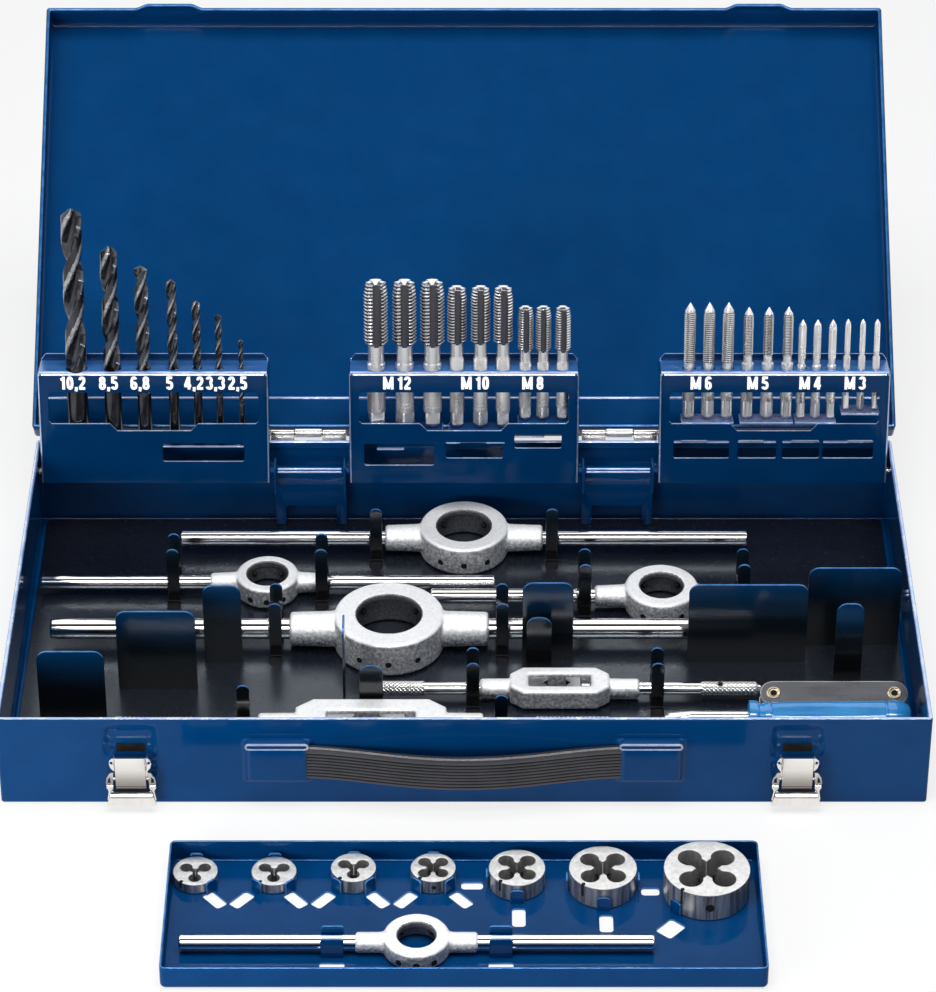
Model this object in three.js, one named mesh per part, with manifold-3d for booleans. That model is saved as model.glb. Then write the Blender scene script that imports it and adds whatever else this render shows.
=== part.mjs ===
// Tap and die set in a hinged sheet steel case, with its lift-out die tray standing in front.
// Frame: origin at the middle of the case's underside, +X right, -Y front, +Z up, millimetres.
import * as THREE from 'three';
import { mergeVertices } from 'three/addons/utils/BufferGeometryUtils.js';
import Module from 'manifold-3d';

const wasm = await Module();
wasm.setup();

// Driving dimensions, shared
const sheet = 1;
const restGap = 0.3;
const cutOverrun = 3;
const runningClearance = 0.3;
const boreClearance = 0.6;
const joinOverlap = 1;
const ringSides = 24;
const roundSides = 12;
const smallSides = 10;
const holeSides = 8;
const cornerPieces = 2;
const endPieces = 4;

// Driving dimensions, case base
const base = { depth: 224, height: 48, hemHeight: 4, hemThickness: 1 };
const recess = { width: 23, height: 20, belowRim: 1, depth: 3 };
const bulge = { innerEndX: 70, length: 28, height: 22, bottomZ: 14, depth: 4 };

// Driving dimensions, lid
const lid = {
  sideClearance: 1.5, depthAboveAxis: 14, skirtBelowAxis: 4, openAngle: 144, cornerCut: 9,
};
const lidCatch = { width: 26, height: 4, depth: 1.6, aboveRim: 0.5 };
const hinge = {
  besideBracket: 1, width: 41, knuckle: 5, pin: 3, axisAboveRim: 2, leaf: 1, leafHeight: 12,
  pinHead: 0.8, knuckles: 3,
};

// Driving dimensions, draw latches
const latch = {
  fromEnd: 60, axisOffset: 4.75, axisZ: 27.5, knuckle: 3.4, pin: 1.6, plateWidth: 14, plateDrop: 14,
  plateThickness: 1, baseKnuckleWidth: 8.4, basePlateHeight: 12, lowerKnuckle: 3, leverWidth: 23,
  leverDrop: 10.5, earThickness: 1.2, earTop: 1.5, hookReach: 1.2, hookThickness: 1,
};

// Driving dimensions, strap handle
const strap = {
  height: 18, thickness: 2.6, bow: 7, endLength: 23, endClearance: 0.3, bottomZ: 16, steps: 24,
};

// Driving dimensions, folding tool racks; the case is as wide as they and their brackets need
const rackCount = 3;
const rack = {
  width: 112, wallGap: 2, faceHeight: 58, shelfDepth: 18, earDepth: 8, earStraight: 17,
  earTop: 8, flangeHeight: 3.5, leanAngle: 12, pivotUp: 5, pivotIn: 4,
  pivotFromWall: 11.5, pivotZ: 38, toolIn: 6.3, ledgeDepth: 10,
};
const rackWindow = {
  margin: 5, labelStrip: 10.4, height: 16.2, dipDepth: 3.7, dipWidth: 36, dipSlope: 3.5,
};
const pivotPin = { diameter: 4, length: 5.5, beyondEar: 1 };
const bracket = {
  width: 35, rackGap: 2, depth: 7, height: 33.5, archWidth: 25, archHeight: 14, lugReach: 4, lugDrop: 11,
};

// Driving dimensions, floor sheet and its bent-up tabs
const floorSheet = { margin: 2, thickness: 1 };
const tab = {
  thickness: 1, narrow: 6, stopWidth: 11, pairHeight: 30, lowHeight: 25, wideHeight: 45, corner: 5,
  tipFlat: 0.2, rodGap: 2.5,
};

// Driving dimensions, die stocks: the rod lies along X through the ring. A tool's place is a share
// of the room that its length leaves in the case, or in the tray
const stockRing = { ledge: 2.5, ledgeInset: 2, bossFlare: 1, rodSeat: 4 };
const stockSpecs = {
  rear: {
    xShare: 0, yShare: 0.7387, outer: 43, bore: 30.4, height: 15,
    rod: 8, halfLength: 139, boss: 17, bossEnd: 12.5,
  },
  left: {
    xShare: -0.96, yShare: 0.428, outer: 30, bore: 20.4, height: 11,
    rod: 7, halfLength: 110, boss: 12.5, bossEnd: 9,
  },
  right: {
    xShare: 0.969, yShare: 0.3153, outer: 35, bore: 25.4, height: 13,
    rod: 7, halfLength: 111, boss: 14.5, bossEnd: 10,
  },
  middle: {
    xShare: -0.74, yShare: 0.045, outer: 52, bore: 38.4, height: 18,
    rod: 10, halfLength: 161, boss: 21, bossEnd: 16,
  },
  tray: {
    xShare: -0.774, yShare: -0.452, outer: 29, bore: 20.4, height: 9,
    rod: 7, halfLength: 103, boss: 12, bossEnd: 9,
  },
};

// Driving dimensions, tap wrenches
const wrenchSpecs = {
  small: {
    xShare: 0.3887, yShare: -0.3333, bodyLength: 46.6, bodyWidth: 20, thickness: 11,
    boss: 14, bossDiameter: 9,
    rod: 6, knurl: 7, knurlLength: 28, reachLeft: 91, reachRight: 94, slotLength: 29, slotWidth: 9,
    fixedJaw: 9, slidingJaw: 11,
  },
  large: {
    slackShare: 0.6667, yShare: -0.6036, bodyLength: 70, bodyWidth: 26, thickness: 13,
    boss: 17, bossDiameter: 12,
    rod: 8, knurl: 9, knurlLength: 36, reachLeft: 118, reachRight: 112, slotLength: 41, slotWidth: 12,
    fixedJaw: 13, slidingJaw: 16,
  },
};

// Driving dimensions, thread gauge and screwdriver
const gauge = {
  endGap: 3.5, yShare: -0.41, length: 67, width: 12, thickness: 9, plate: 1, leafInset: 1,
  rivet: 4, rivetHead: 6, rivetHeadHeight: 0.6, rivetInset: 6, leanAngle: 25,
};
const driver = {
  endGap: 2, gaugeGap: 1.6, handleLength: 76, handle: 15, handleEnd: 12, collar: 4,
  blade: 5, bladeLength: 38, tipThickness: 1.2, tipLength: 12, tipWidthShare: 0.82,
};

// Driving dimensions, die tray and dies
const tray = { width: 261, depth: 86, height: 12, standOff: 41, dieGap: 2.1 };
const dieTab = { width: 7, height: 6, thickness: 1, hole: 5 };
const cradle = { width: 10, height: 12, neck: 5 };
const rearTabAngle = 90;
const smallDieTabs = [rearTabAngle, -35, -145];
const dieSpecs = {
  die_m3: { xShare: -0.994, outer: 20, height: 5, thread: 3, lobes: 3, tabAngles: smallDieTabs },
  die_m4: { xShare: -0.703, outer: 20, height: 5, thread: 4, lobes: 3, tabAngles: smallDieTabs },
  die_m5: { xShare: -0.408, outer: 20, height: 7, thread: 5, lobes: 3, tabAngles: smallDieTabs },
  die_m6: {
    xShare: -0.114, outer: 20, height: 7, thread: 6, lobes: 4,
    tabAngles: [rearTabAngle, 0, -145],
  },
  die_m8: {
    xShare: 0.2, outer: 25, height: 9, thread: 8, lobes: 4,
    tabAngles: [rearTabAngle, 180, -90],
  },
  die_m10: {
    xShare: 0.5345, outer: 30, height: 11, thread: 10, lobes: 4,
    tabAngles: [0, 180, -90],
  },
  die_m12: {
    xShare: 0.9656, outer: 38, height: 14, thread: 12, lobes: 4,
    tabAngles: [rearTabAngle, -90, -145],
  },
};
const lobeShare = 0.24;
const lobeRingShare = 0.27;

// Driving dimensions, drills and taps; places along a rack are shares of its half width
const drillRest = { long: 1.5, short: 14.5 };
const drillSpecs = {
  drill_10_2: { atShare: -0.666, diameter: 10.2, length: 133, rest: 'long' },
  drill_8_5: { atShare: -0.357, diameter: 8.5, length: 114, rest: 'long' },
  drill_6_8: { atShare: -0.084, diameter: 6.8, length: 104, rest: 'long' },
  drill_5_0: { atShare: 0.173, diameter: 5, length: 84, rest: 'short' },
  drill_4_2: { atShare: 0.382, diameter: 4.2, length: 73, rest: 'short' },
  drill_3_3: { atShare: 0.571, diameter: 3.3, length: 66, rest: 'short' },
  drill_2_5: { atShare: 0.762, diameter: 2.5, length: 53, rest: 'short' },
};
const drillPoint = 118;
const tapRest = { m12: 22.2, m8: 26.1, m6: 26.6, m3: 31.3 };
const tapSpecs = {
  taps_m12: {
    atShares: [-0.761, -0.514, -0.273], thread: 12, shank: 9, square: 7, length: 75,
    threadLength: 36, rest: 'm12', blunt: true,
  },
  taps_m10: {
    atShares: [-0.061, 0.143, 0.339], thread: 10, shank: 7, square: 5.5, length: 72,
    threadLength: 29, rest: 'm12', blunt: true,
  },
  taps_m8: {
    atShares: [0.532, 0.686, 0.855], thread: 8, shank: 6, square: 4.9, length: 58,
    threadLength: 26, rest: 'm8', blunt: true,
  },
  taps_m6: {
    atShares: [-0.743, -0.575, -0.411], thread: 6, shank: 6, square: 4.9, length: 58,
    threadLength: 22, rest: 'm6', blunt: false,
  },
  taps_m5: {
    atShares: [-0.236, -0.062, 0.107], thread: 5, shank: 6, square: 4.9, length: 56,
    threadLength: 20, rest: 'm6', blunt: false,
  },
  taps_m4: {
    atShares: [0.232, 0.362, 0.493], thread: 4, shank: 4.5, square: 3.4, length: 50,
    threadLength: 16, rest: 'm6', blunt: false,
  },
  taps_m3: {
    atShares: [0.623, 0.752, 0.877], thread: 3, shank: 3.5, square: 2.7, length: 46,
    threadLength: 14, rest: 'm3', blunt: false,
  },
};
const tapStrip = { margin: 0.5, thickness: 1 };
const squareLengthShare = 0.11;
const neckShare = 0.82;

// Ratios that are not lengths
const rad = THREE.MathUtils.degToRad;
const half = 0.5;

// Materials
const paint = new THREE.MeshStandardMaterial({ color: 0x063f78, roughness: 0.3, metalness: 0.1 });
const blackFloor = new THREE.MeshStandardMaterial({ color: 0x1b1d20, roughness: 0.7, metalness: 0 });
const nickel = new THREE.MeshStandardMaterial({ color: 0xc9c8c4, roughness: 0.25, metalness: 1 });
const brightSteel = new THREE.MeshStandardMaterial({ color: 0xb9bbbd, roughness: 0.3, metalness: 1 });
const castMetal = new THREE.MeshStandardMaterial({ color: 0xc4c6c8, roughness: 0.6, metalness: 0.8 });
const blackOxide = new THREE.MeshStandardMaterial({ color: 0x2a2b2d, roughness: 0.4, metalness: 0.8 });
const strapRubber = new THREE.MeshStandardMaterial({ color: 0x222326, roughness: 0.6, metalness: 0 });
const gaugeBlack = new THREE.MeshStandardMaterial({ color: 0x26282c, roughness: 0.4, metalness: 0.6 });
const bluePlastic = new THREE.MeshStandardMaterial({ color: 0x3f8fd0, roughness: 0.2, metalness: 0 });

// Geometry helpers: every shape is made by three.js, joined and cut as a solid
function solidOf(geometry) {
  geometry.deleteAttribute('normal');
  geometry.deleteAttribute('uv');
  const merged = mergeVertices(geometry);
  return new wasm.Manifold(new wasm.Mesh({
    numProp: 3,
    vertProperties: new Float32Array(merged.attributes.position.array),
    triVerts: new Uint32Array(merged.index.array),
  }));
}

function geometryOf(manifold) {
  const mesh = manifold.getMesh();
  const geometry = new THREE.BufferGeometry();
  geometry.setAttribute('position', new THREE.BufferAttribute(new Float32Array(mesh.vertProperties), 3));
  geometry.setIndex(new THREE.BufferAttribute(new Uint32Array(mesh.triVerts), 1));
  geometry.computeVertexNormals();
  return geometry;
}

function slab(lowX, highX, lowY, highY, lowZ, highZ) {
  const geometry = new THREE.BoxGeometry(highX - lowX, highY - lowY, highZ - lowZ);
  geometry.translate((lowX + highX) * half, (lowY + highY) * half, (lowZ + highZ) * half);
  return solidOf(geometry);
}

function outlineShape(points) {
  return new THREE.Shape(points.map(([a, b]) => new THREE.Vector2(a, b)));
}

function extruded(shape, depth, pieces) {
  return new THREE.ExtrudeGeometry(shape, { depth, bevelEnabled: false, curveSegments: pieces });
}

// Outline in X and Y, raised along Z
function prismZ(shape, lowZ, highZ, pieces = cornerPieces) {
  const geometry = extruded(shape, highZ - lowZ, pieces);
  geometry.translate(0, 0, lowZ);
  return solidOf(geometry);
}

// Outline in X and Z, carried along Y
function prismY(shape, lowY, highY) {
  const geometry = extruded(shape, highY - lowY, cornerPieces);
  geometry.rotateX(Math.PI * half);
  geometry.translate(0, highY, 0);
  return solidOf(geometry);
}

// Outline in Y and Z, carried along X
function prismX(shape, lowX, highX) {
  const geometry = extruded(shape, highX - lowX, cornerPieces);
  const turn = new THREE.Matrix4().makeBasis(
    new THREE.Vector3(0, 1, 0),
    new THREE.Vector3(0, 0, 1),
    new THREE.Vector3(1, 0, 0),
  );
  geometry.applyMatrix4(turn);
  geometry.translate(lowX, 0, 0);
  return solidOf(geometry);
}

function coneX(lowX, highX, lowDiameter, highDiameter, y, z, sides = roundSides) {
  const geometry = new THREE.CylinderGeometry(
    highDiameter * half, lowDiameter * half, highX - lowX, sides,
  );
  geometry.rotateZ(-Math.PI * half);
  geometry.translate((lowX + highX) * half, y, z);
  return solidOf(geometry);
}

function rodX(lowX, highX, diameter, y, z, sides = roundSides) {
  return coneX(lowX, highX, diameter, diameter, y, z, sides);
}

function rodZ(lowZ, highZ, diameter, x, y, sides = roundSides) {
  const geometry = new THREE.CylinderGeometry(diameter * half, diameter * half, highZ - lowZ, sides);
  geometry.rotateX(Math.PI * half);
  geometry.translate(x, y, (lowZ + highZ) * half);
  return solidOf(geometry);
}

// A cutter whose flats, not its corners, clear the diameter
function boreZ(lowZ, highZ, diameter, x, y) {
  return rodZ(lowZ, highZ, diameter / Math.cos(Math.PI / holeSides), x, y, holeSides);
}

// Profile of [radius, z] points turned about Z
function turnedZ(profile, x, y, sides = roundSides) {
  const points = profile.map(([radius, z]) => new THREE.Vector2(radius, z));
  const geometry = new THREE.LatheGeometry(points, sides);
  geometry.rotateX(Math.PI * half);
  geometry.translate(x, y, 0);
  return solidOf(geometry);
}

function unionOf(solids) {
  return solids.reduce((sum, solid) => sum.add(solid));
}

const model = new THREE.Group();

function addPiece(parent, name, manifold, material) {
  const mesh = new THREE.Mesh(geometryOf(manifold), material);
  mesh.name = name;
  parent.add(mesh);
  return mesh;
}

// Values worked out from the driving dimensions
const endRoom = sheet + rack.wallGap;
const bracketRoom = bracket.rackGap + bracket.width + bracket.rackGap;
const baseWidth = endRoom + rackCount * rack.width + (rackCount - 1) * bracketRoom + endRoom;
const baseHalfWidth = baseWidth * half;
const baseHalfDepth = base.depth * half;
const hingeAxisY = baseHalfDepth + hinge.knuckle * half + restGap;
const hingeAxisZ = base.height + hinge.axisAboveRim;
const floorTop = sheet + restGap + floorSheet.thickness;
const restZ = floorTop + restGap;
const recessTop = base.height - recess.belowRim;
const recessBottom = recessTop - recess.height;
const latchAxisY = -(baseHalfDepth + latch.axisOffset);
const latchCentreX = baseHalfWidth - latch.fromEnd;
const roomX = baseHalfWidth - sheet;
const roomY = baseHalfDepth - sheet;
const rackHalf = rack.width * half;
const rackCentreX = roomX - rack.wallGap - rackHalf;
const bracketCentreX = rackCentreX * half;
const hingeCentreX = bracketCentreX + hinge.besideBracket;
const rackPivotY = roomY - rack.pivotFromWall;
const trayRearY = -(baseHalfDepth + tray.standOff);
const trayFrontY = trayRearY - tray.depth;
const trayRestZ = sheet + restGap;

function namedSpecs(specs) {
  return Object.entries(specs).map(([name, spec]) => ({ name, ...spec }));
}
const drills = namedSpecs(drillSpecs);
const taps = namedSpecs(tapSpecs);
const dies = namedSpecs(dieSpecs);

// A tool's place in the case from its shares of the room
function placeInCase(spec, reach) {
  return { ...spec, centreX: spec.xShare * (roomX - reach), centreY: spec.yShare * roomY };
}

const caseStocks = {};
for (const name of ['rear', 'left', 'right', 'middle']) {
  caseStocks[name] = placeInCase(stockSpecs[name], stockSpecs[name].halfLength);
}
// The large wrench shares its row with the screwdriver, and takes a share of the slack there
const driverReach = driver.bladeLength + driver.handleLength + driver.endGap;
const largeReach = wrenchSpecs.large.reachLeft + wrenchSpecs.large.reachRight;
const rowSlack = roomX + roomX - largeReach - driverReach;
const wrenches = {
  small: placeInCase(
    wrenchSpecs.small, Math.max(wrenchSpecs.small.reachLeft, wrenchSpecs.small.reachRight),
  ),
  large: {
    ...wrenchSpecs.large,
    centreX: -roomX + wrenchSpecs.large.slackShare * rowSlack + wrenchSpecs.large.reachLeft,
    centreY: wrenchSpecs.large.yShare * roomY,
  },
};
const trayStock = {
  ...stockSpecs.tray,
  centreX: stockSpecs.tray.xShare * (tray.width * half - sheet - stockSpecs.tray.halfLength),
  centreY: (trayRearY + trayFrontY) * half + stockSpecs.tray.yShare * (tray.depth * half - sheet),
};

// Case base: open sheet box with a hemmed rim, two finger recesses and two strap bulges
function basePan() {
  const outer = slab(-baseHalfWidth, baseHalfWidth, -baseHalfDepth, baseHalfDepth, 0, base.height);
  const wall = sheet + base.hemThickness;
  const lowCut = slab(
    -baseHalfWidth + sheet, baseHalfWidth - sheet, -baseHalfDepth + sheet, baseHalfDepth - sheet,
    sheet, base.height - base.hemHeight,
  );
  const rimCut = slab(
    -baseHalfWidth + wall, baseHalfWidth - wall, -baseHalfDepth + wall, baseHalfDepth - wall,
    base.height - base.hemHeight - sheet, base.height + cutOverrun,
  );
  let pan = outer.subtract(lowCut).subtract(rimCut);
  for (const side of [-1, 1]) {
    const x = side * latchCentreX;
    const reach = recess.width * half;
    const pocket = slab(
      x - reach - sheet, x + reach + sheet, -baseHalfDepth, -baseHalfDepth + recess.depth + sheet,
      recessBottom - sheet, base.height,
    );
    const pocketCut = slab(
      x - reach, x + reach, -baseHalfDepth - cutOverrun, -baseHalfDepth + recess.depth,
      recessBottom, recessTop,
    );
    pan = pan.add(pocket).subtract(pocketCut);
    const inner = side * bulge.innerEndX;
    const outerEnd = side * (bulge.innerEndX + bulge.length);
    const low = Math.min(inner, outerEnd);
    const high = Math.max(inner, outerEnd);
    const shell = slab(
      low, high, -baseHalfDepth - bulge.depth, -baseHalfDepth + sheet * half,
      bulge.bottomZ, bulge.bottomZ + bulge.height,
    );
    const innerOverrun = side > 0 ? [-cutOverrun, -sheet] : [sheet, cutOverrun];
    const shellCut = slab(
      low + innerOverrun[0], high + innerOverrun[1], -baseHalfDepth - bulge.depth + sheet,
      -baseHalfDepth, bulge.bottomZ + sheet, bulge.bottomZ + bulge.height - sheet,
    );
    const wallCut = slab(
      low + sheet, high - sheet, -baseHalfDepth - bulge.depth + sheet, -baseHalfDepth + cutOverrun,
      bulge.bottomZ + sheet, bulge.bottomZ + bulge.height - sheet,
    );
    pan = pan.add(shell).subtract(shellCut).subtract(wallCut);
  }
  return pan;
}

// A tab bent up from a sheet: its outline has round top corners
function tabOutline(width, height, corner, foot) {
  const reach = width * half;
  const shape = new THREE.Shape();
  shape.moveTo(-reach, -foot);
  shape.lineTo(reach, -foot);
  shape.lineTo(reach, height - corner);
  shape.absarc(reach - corner, height - corner, corner, 0, Math.PI * half);
  if (corner < reach) shape.lineTo(-reach + corner, height);
  shape.absarc(-reach + corner, height - corner, corner, Math.PI * half, Math.PI);
  return shape;
}

function tabAcross(x, y, z, width, height) {
  const corner = Math.min(tab.corner, width * half - tab.tipFlat);
  const tall = prismY(tabOutline(width, height, corner, floorSheet.thickness), 0, tab.thickness);
  return tall.translate([x, y - tab.thickness * half, z]);
}

// Tabs beside the tools: places along a tool are shares of its reach, side 1 is behind it
const behindAndBefore = [-1, 1];
const toolTabs = [
  { tool: caseStocks.left, atShares: [-0.409, 0.24], sides: behindAndBefore, height: tab.pairHeight },
  { tool: caseStocks.right, atShares: [-0.333, 0.351], sides: behindAndBefore, height: tab.pairHeight },
  { tool: caseStocks.middle, atShares: [-0.3335, 0.3335], sides: behindAndBefore, height: tab.pairHeight },
  { tool: caseStocks.rear, atShares: [-0.309, 0.309], sides: [-1], height: tab.pairHeight },
  { tool: wrenches.small, atShares: [-0.431, 0.484], sides: behindAndBefore, height: tab.lowHeight },
  { tool: wrenches.large, atShares: [-0.5], sides: [1], height: tab.lowHeight },
  { tool: wrenches.large, atShares: [0.509], sides: [-1], height: tab.pairHeight },
];

function toolTabPlaces() {
  const places = [];
  for (const { tool, atShares, sides, height } of toolTabs) {
    const reach = tool.halfLength ?? Math.max(tool.reachLeft, tool.reachRight);
    const away = tool.rod * half + tab.rodGap + tab.thickness * half;
    for (const share of atShares) {
      const x = tool.centreX + share * reach;
      for (const side of sides) {
        places.push({ x, y: tool.centreY + side * away, width: tab.narrow, height });
      }
    }
  }
  const stopped = wrenches.large;
  places.push({
    x: stopped.centreX, y: stopped.centreY + stopped.bodyWidth * half + tab.rodGap,
    width: tab.stopWidth, height: tab.pairHeight,
  });
  return places;
}

// Wide tabs that keep the folded tools in their holes; places are shares of the room on the sheet
const wideTabs = [
  { xShare: -0.9765, yShare: -0.555, width: 31, height: tab.wideHeight },
  { xShare: -0.761, yShare: -0.271, width: 37, height: tab.wideHeight },
  { xShare: -0.574, yShare: -0.083, width: 18, height: tab.wideHeight },
  { xShare: 0.2026, yShare: -0.064, width: 24, height: tab.wideHeight },
  { xShare: 0.1756, yShare: -0.128, width: 12, height: tab.pairHeight },
  { xShare: 0.746, yShare: -0.078, width: 56, height: tab.wideHeight },
  { xShare: 0.9973, yShare: 0.046, width: 44, height: tab.wideHeight },
  { xShare: 0.898, yShare: -0.216, width: 13, height: tab.wideHeight },
];
const crossTab = { xShare: -0.27, yShare: -0.33, width: 14 };

function floorInlay() {
  const reachX = roomX - floorSheet.margin;
  const reachY = roomY - floorSheet.margin;
  let inlay = slab(-reachX, reachX, -reachY, reachY, floorTop - floorSheet.thickness, floorTop);
  for (const place of toolTabPlaces()) {
    inlay = inlay.add(tabAcross(place.x, place.y, floorTop, place.width, place.height));
  }
  for (const { xShare, yShare, width, height } of wideTabs) {
    const x = xShare * (reachX - width * half);
    inlay = inlay.add(tabAcross(x, yShare * reachY, floorTop, width, height));
  }
  const across = prismX(
    tabOutline(crossTab.width, tab.wideHeight, tab.corner, floorSheet.thickness), 0, tab.thickness,
  );
  return inlay.add(across.translate([
    crossTab.xShare * reachX - tab.thickness * half, crossTab.yShare * reachY, floorTop,
  ]));
}

// Lid, in the hinge axis's frame as it lies closed
const lidReachX = baseHalfWidth + lid.sideClearance + sheet;
const lidFrontY = -(hingeAxisY + baseHalfDepth + lid.sideClearance + sheet);
const lidRearY = baseHalfDepth - hingeAxisY;

function lidShell() {
  const sideOutline = outlineShape([
    [lidFrontY, -lid.skirtBelowAxis],
    [lidRearY - lid.cornerCut, -lid.skirtBelowAxis],
    [lidRearY, lid.cornerCut - lid.skirtBelowAxis],
    [lidRearY, lid.depthAboveAxis],
    [lidFrontY, lid.depthAboveAxis],
  ]);
  const block = prismX(sideOutline, -lidReachX, lidReachX);
  const hollow = slab(
    -lidReachX + sheet, lidReachX - sheet, lidFrontY + sheet, lidRearY - sheet,
    -lid.skirtBelowAxis - cutOverrun, lid.depthAboveAxis - sheet,
  );
  const rearCut = slab(
    -lidReachX + sheet, lidReachX - sheet, lidRearY - sheet - cutOverrun, lidRearY + cutOverrun,
    -lid.skirtBelowAxis - cutOverrun, 0,
  );
  let shell = block.subtract(hollow).subtract(rearCut);
  const catchLow = lidCatch.aboveRim - lid.skirtBelowAxis;
  for (const side of [-1, 1]) {
    const x = side * latchCentreX;
    const reach = lidCatch.width * half;
    const bump = slab(
      x - reach, x + reach, lidFrontY - lidCatch.depth, lidFrontY + sheet * half,
      catchLow, catchLow + lidCatch.height,
    );
    const bumpCut = slab(
      x - reach + sheet, x + reach - sheet, lidFrontY - lidCatch.depth * half,
      lidFrontY + sheet + cutOverrun, catchLow + sheet, catchLow + lidCatch.height - sheet,
    );
    shell = shell.add(bump).subtract(bumpCut);
  }
  return shell;
}

// Three-knuckle butt hinges; "own" says which of the three knuckles a leaf carries
function hingeLeaf(centreX, own, towardLid) {
  const pitch = hinge.width / hinge.knuckles;
  const low = centreX - hinge.width * half;
  const axisInset = hinge.knuckle * half;
  const leafStart = axisInset + runningClearance;
  const rise = towardLid ? 1 : -1;
  const leafZ = [rise * leafStart, rise * leafStart + rise * hinge.leafHeight].sort((a, b) => a - b);
  let leaf = slab(
    low, low + hinge.width, -axisInset, -axisInset + hinge.leaf, leafZ[0], leafZ[1],
  );
  for (const index of own) {
    const knuckleLow = low + index * pitch + runningClearance * half;
    const knuckleHigh = knuckleLow + pitch - runningClearance;
    const neck = [0, rise * (leafStart + hinge.leaf)].sort((a, b) => a - b);
    leaf = leaf.add(rodX(knuckleLow, knuckleHigh, hinge.knuckle, 0, 0));
    leaf = leaf.add(slab(
      knuckleLow, knuckleHigh, -axisInset, -axisInset + hinge.leaf, neck[0], neck[1],
    ));
  }
  const bore = hinge.pin + boreClearance;
  return leaf.subtract(rodX(low - cutOverrun, low + hinge.width + cutOverrun, bore, 0, 0, smallSides));
}

function hingePin(centreX) {
  const reach = hinge.width * half + restGap;
  const pinReach = reach + hinge.pinHead;
  const pin = rodX(centreX - pinReach, centreX + pinReach, hinge.pin, 0, 0, smallSides);
  const heads = [-1, 1].map((side) => {
    const start = centreX + side * reach;
    const end = start + side * hinge.pinHead;
    return rodX(Math.min(start, end), Math.max(start, end), hinge.knuckle, 0, 0, smallSides);
  });
  return unionOf([pin, ...heads]);
}

// Draw latch: fixed base, link plate hanging from it, and the wide finger lever below
function latchBase(x) {
  const wallY = baseHalfDepth + restGap;
  const knuckleReach = latch.baseKnuckleWidth * half;
  const plate = slab(
    x - knuckleReach, x + knuckleReach, -wallY - sheet, -wallY,
    latch.axisZ - latch.basePlateHeight, recessBottom,
  );
  const arm = slab(
    x - knuckleReach, x + knuckleReach, latchAxisY, -wallY - sheet * half,
    latch.axisZ - latch.knuckle * half, recessBottom,
  );
  const knuckle = rodX(x - knuckleReach, x + knuckleReach, latch.knuckle, latchAxisY, latch.axisZ);
  const cutReach = knuckleReach + cutOverrun;
  const bore = latch.pin + boreClearance;
  const cut = rodX(x - cutReach, x + cutReach, bore, latchAxisY, latch.axisZ, smallSides);
  return unionOf([plate, arm, knuckle]).subtract(cut);
}

function latchPlate(x) {
  const reach = latch.plateWidth * half;
  const inner = latch.baseKnuckleWidth * half + runningClearance;
  const thick = latch.plateThickness * half;
  const top = latch.axisZ - latch.knuckle * half - runningClearance;
  const lowerZ = latch.axisZ - latch.plateDrop;
  const sheetPlate = slab(x - reach, x + reach, latchAxisY - thick, latchAxisY + thick, lowerZ, top);
  const knuckles = [-1, 1].map((side) => {
    const a = x + side * inner;
    const b = x + side * reach;
    const low = Math.min(a, b);
    const high = Math.max(a, b);
    const tube = rodX(low, high, latch.knuckle, latchAxisY, latch.axisZ, smallSides);
    return tube.add(slab(low, high, latchAxisY - thick, latchAxisY + thick, lowerZ, latch.axisZ));
  });
  const pin = rodX(x - reach, x + reach, latch.pin, latchAxisY, latch.axisZ, smallSides);
  const roll = rodX(x - reach, x + reach, latch.lowerKnuckle, latchAxisY, lowerZ, smallSides);
  const bore = latch.pin + boreClearance;
  const cut = rodX(x - reach - cutOverrun, x + reach + cutOverrun, bore, latchAxisY, lowerZ, smallSides);
  return unionOf([sheetPlate, ...knuckles, pin, roll]).subtract(cut);
}

function latchLever(x) {
  const reach = latch.leverWidth * half;
  const earInner = latch.plateWidth * half + runningClearance;
  const thick = latch.plateThickness * half;
  const axisZ = latch.axisZ - latch.plateDrop;
  const bodyTop = axisZ - latch.lowerKnuckle * half - boreClearance;
  const bottom = axisZ - latch.leverDrop;
  const body = slab(x - reach, x + reach, latchAxisY - thick, latchAxisY + thick, bottom, bodyTop);
  const ears = [-1, 1].map((side) => {
    const a = x + side * earInner;
    const b = a + side * latch.earThickness;
    return slab(
      Math.min(a, b), Math.max(a, b), latchAxisY - thick, latchAxisY + thick,
      bottom, axisZ + latch.earTop,
    );
  });
  const pinReach = earInner + latch.earThickness * half;
  const pin = rodX(x - pinReach, x + pinReach, latch.pin, latchAxisY, axisZ, smallSides);
  const hook = slab(
    x - reach, x + reach, latchAxisY - thick - latch.hookReach, latchAxisY + thick,
    bottom, bottom + latch.hookThickness,
  );
  return unionOf([body, ...ears, pin, hook]);
}

// Strap handle: a flat band bowed away from the case, its ends inside the bulges
function handleStrap() {
  const endX = bulge.innerEndX + strap.endLength;
  const backY = -(baseHalfDepth + strap.endClearance);
  const bowAt = (x) => {
    const share = Math.min(Math.abs(x) / bulge.innerEndX, 1);
    return strap.bow * (1 - share * share) * (1 - share * share);
  };
  const xs = [-endX];
  for (let index = 0; index <= strap.steps; index += 1) {
    xs.push(-bulge.innerEndX + (bulge.innerEndX + bulge.innerEndX) * (index / strap.steps));
  }
  xs.push(endX);
  const back = xs.map((x) => [x, backY - bowAt(x)]);
  const front = xs.map((x) => [x, backY - bowAt(x) - strap.thickness]).reverse();
  return prismZ(outlineShape([...back, ...front].reverse()), strap.bottomZ, strap.bottomZ + strap.height);
}

// Racks, in the frame of their pivot: Y goes in from the face, Z up along it
const faceY = -rack.pivotIn;
const faceLowZ = -rack.pivotUp;
const faceTopZ = rack.faceHeight - rack.pivotUp;
const toolY = rack.toolIn - rack.pivotIn;

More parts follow.
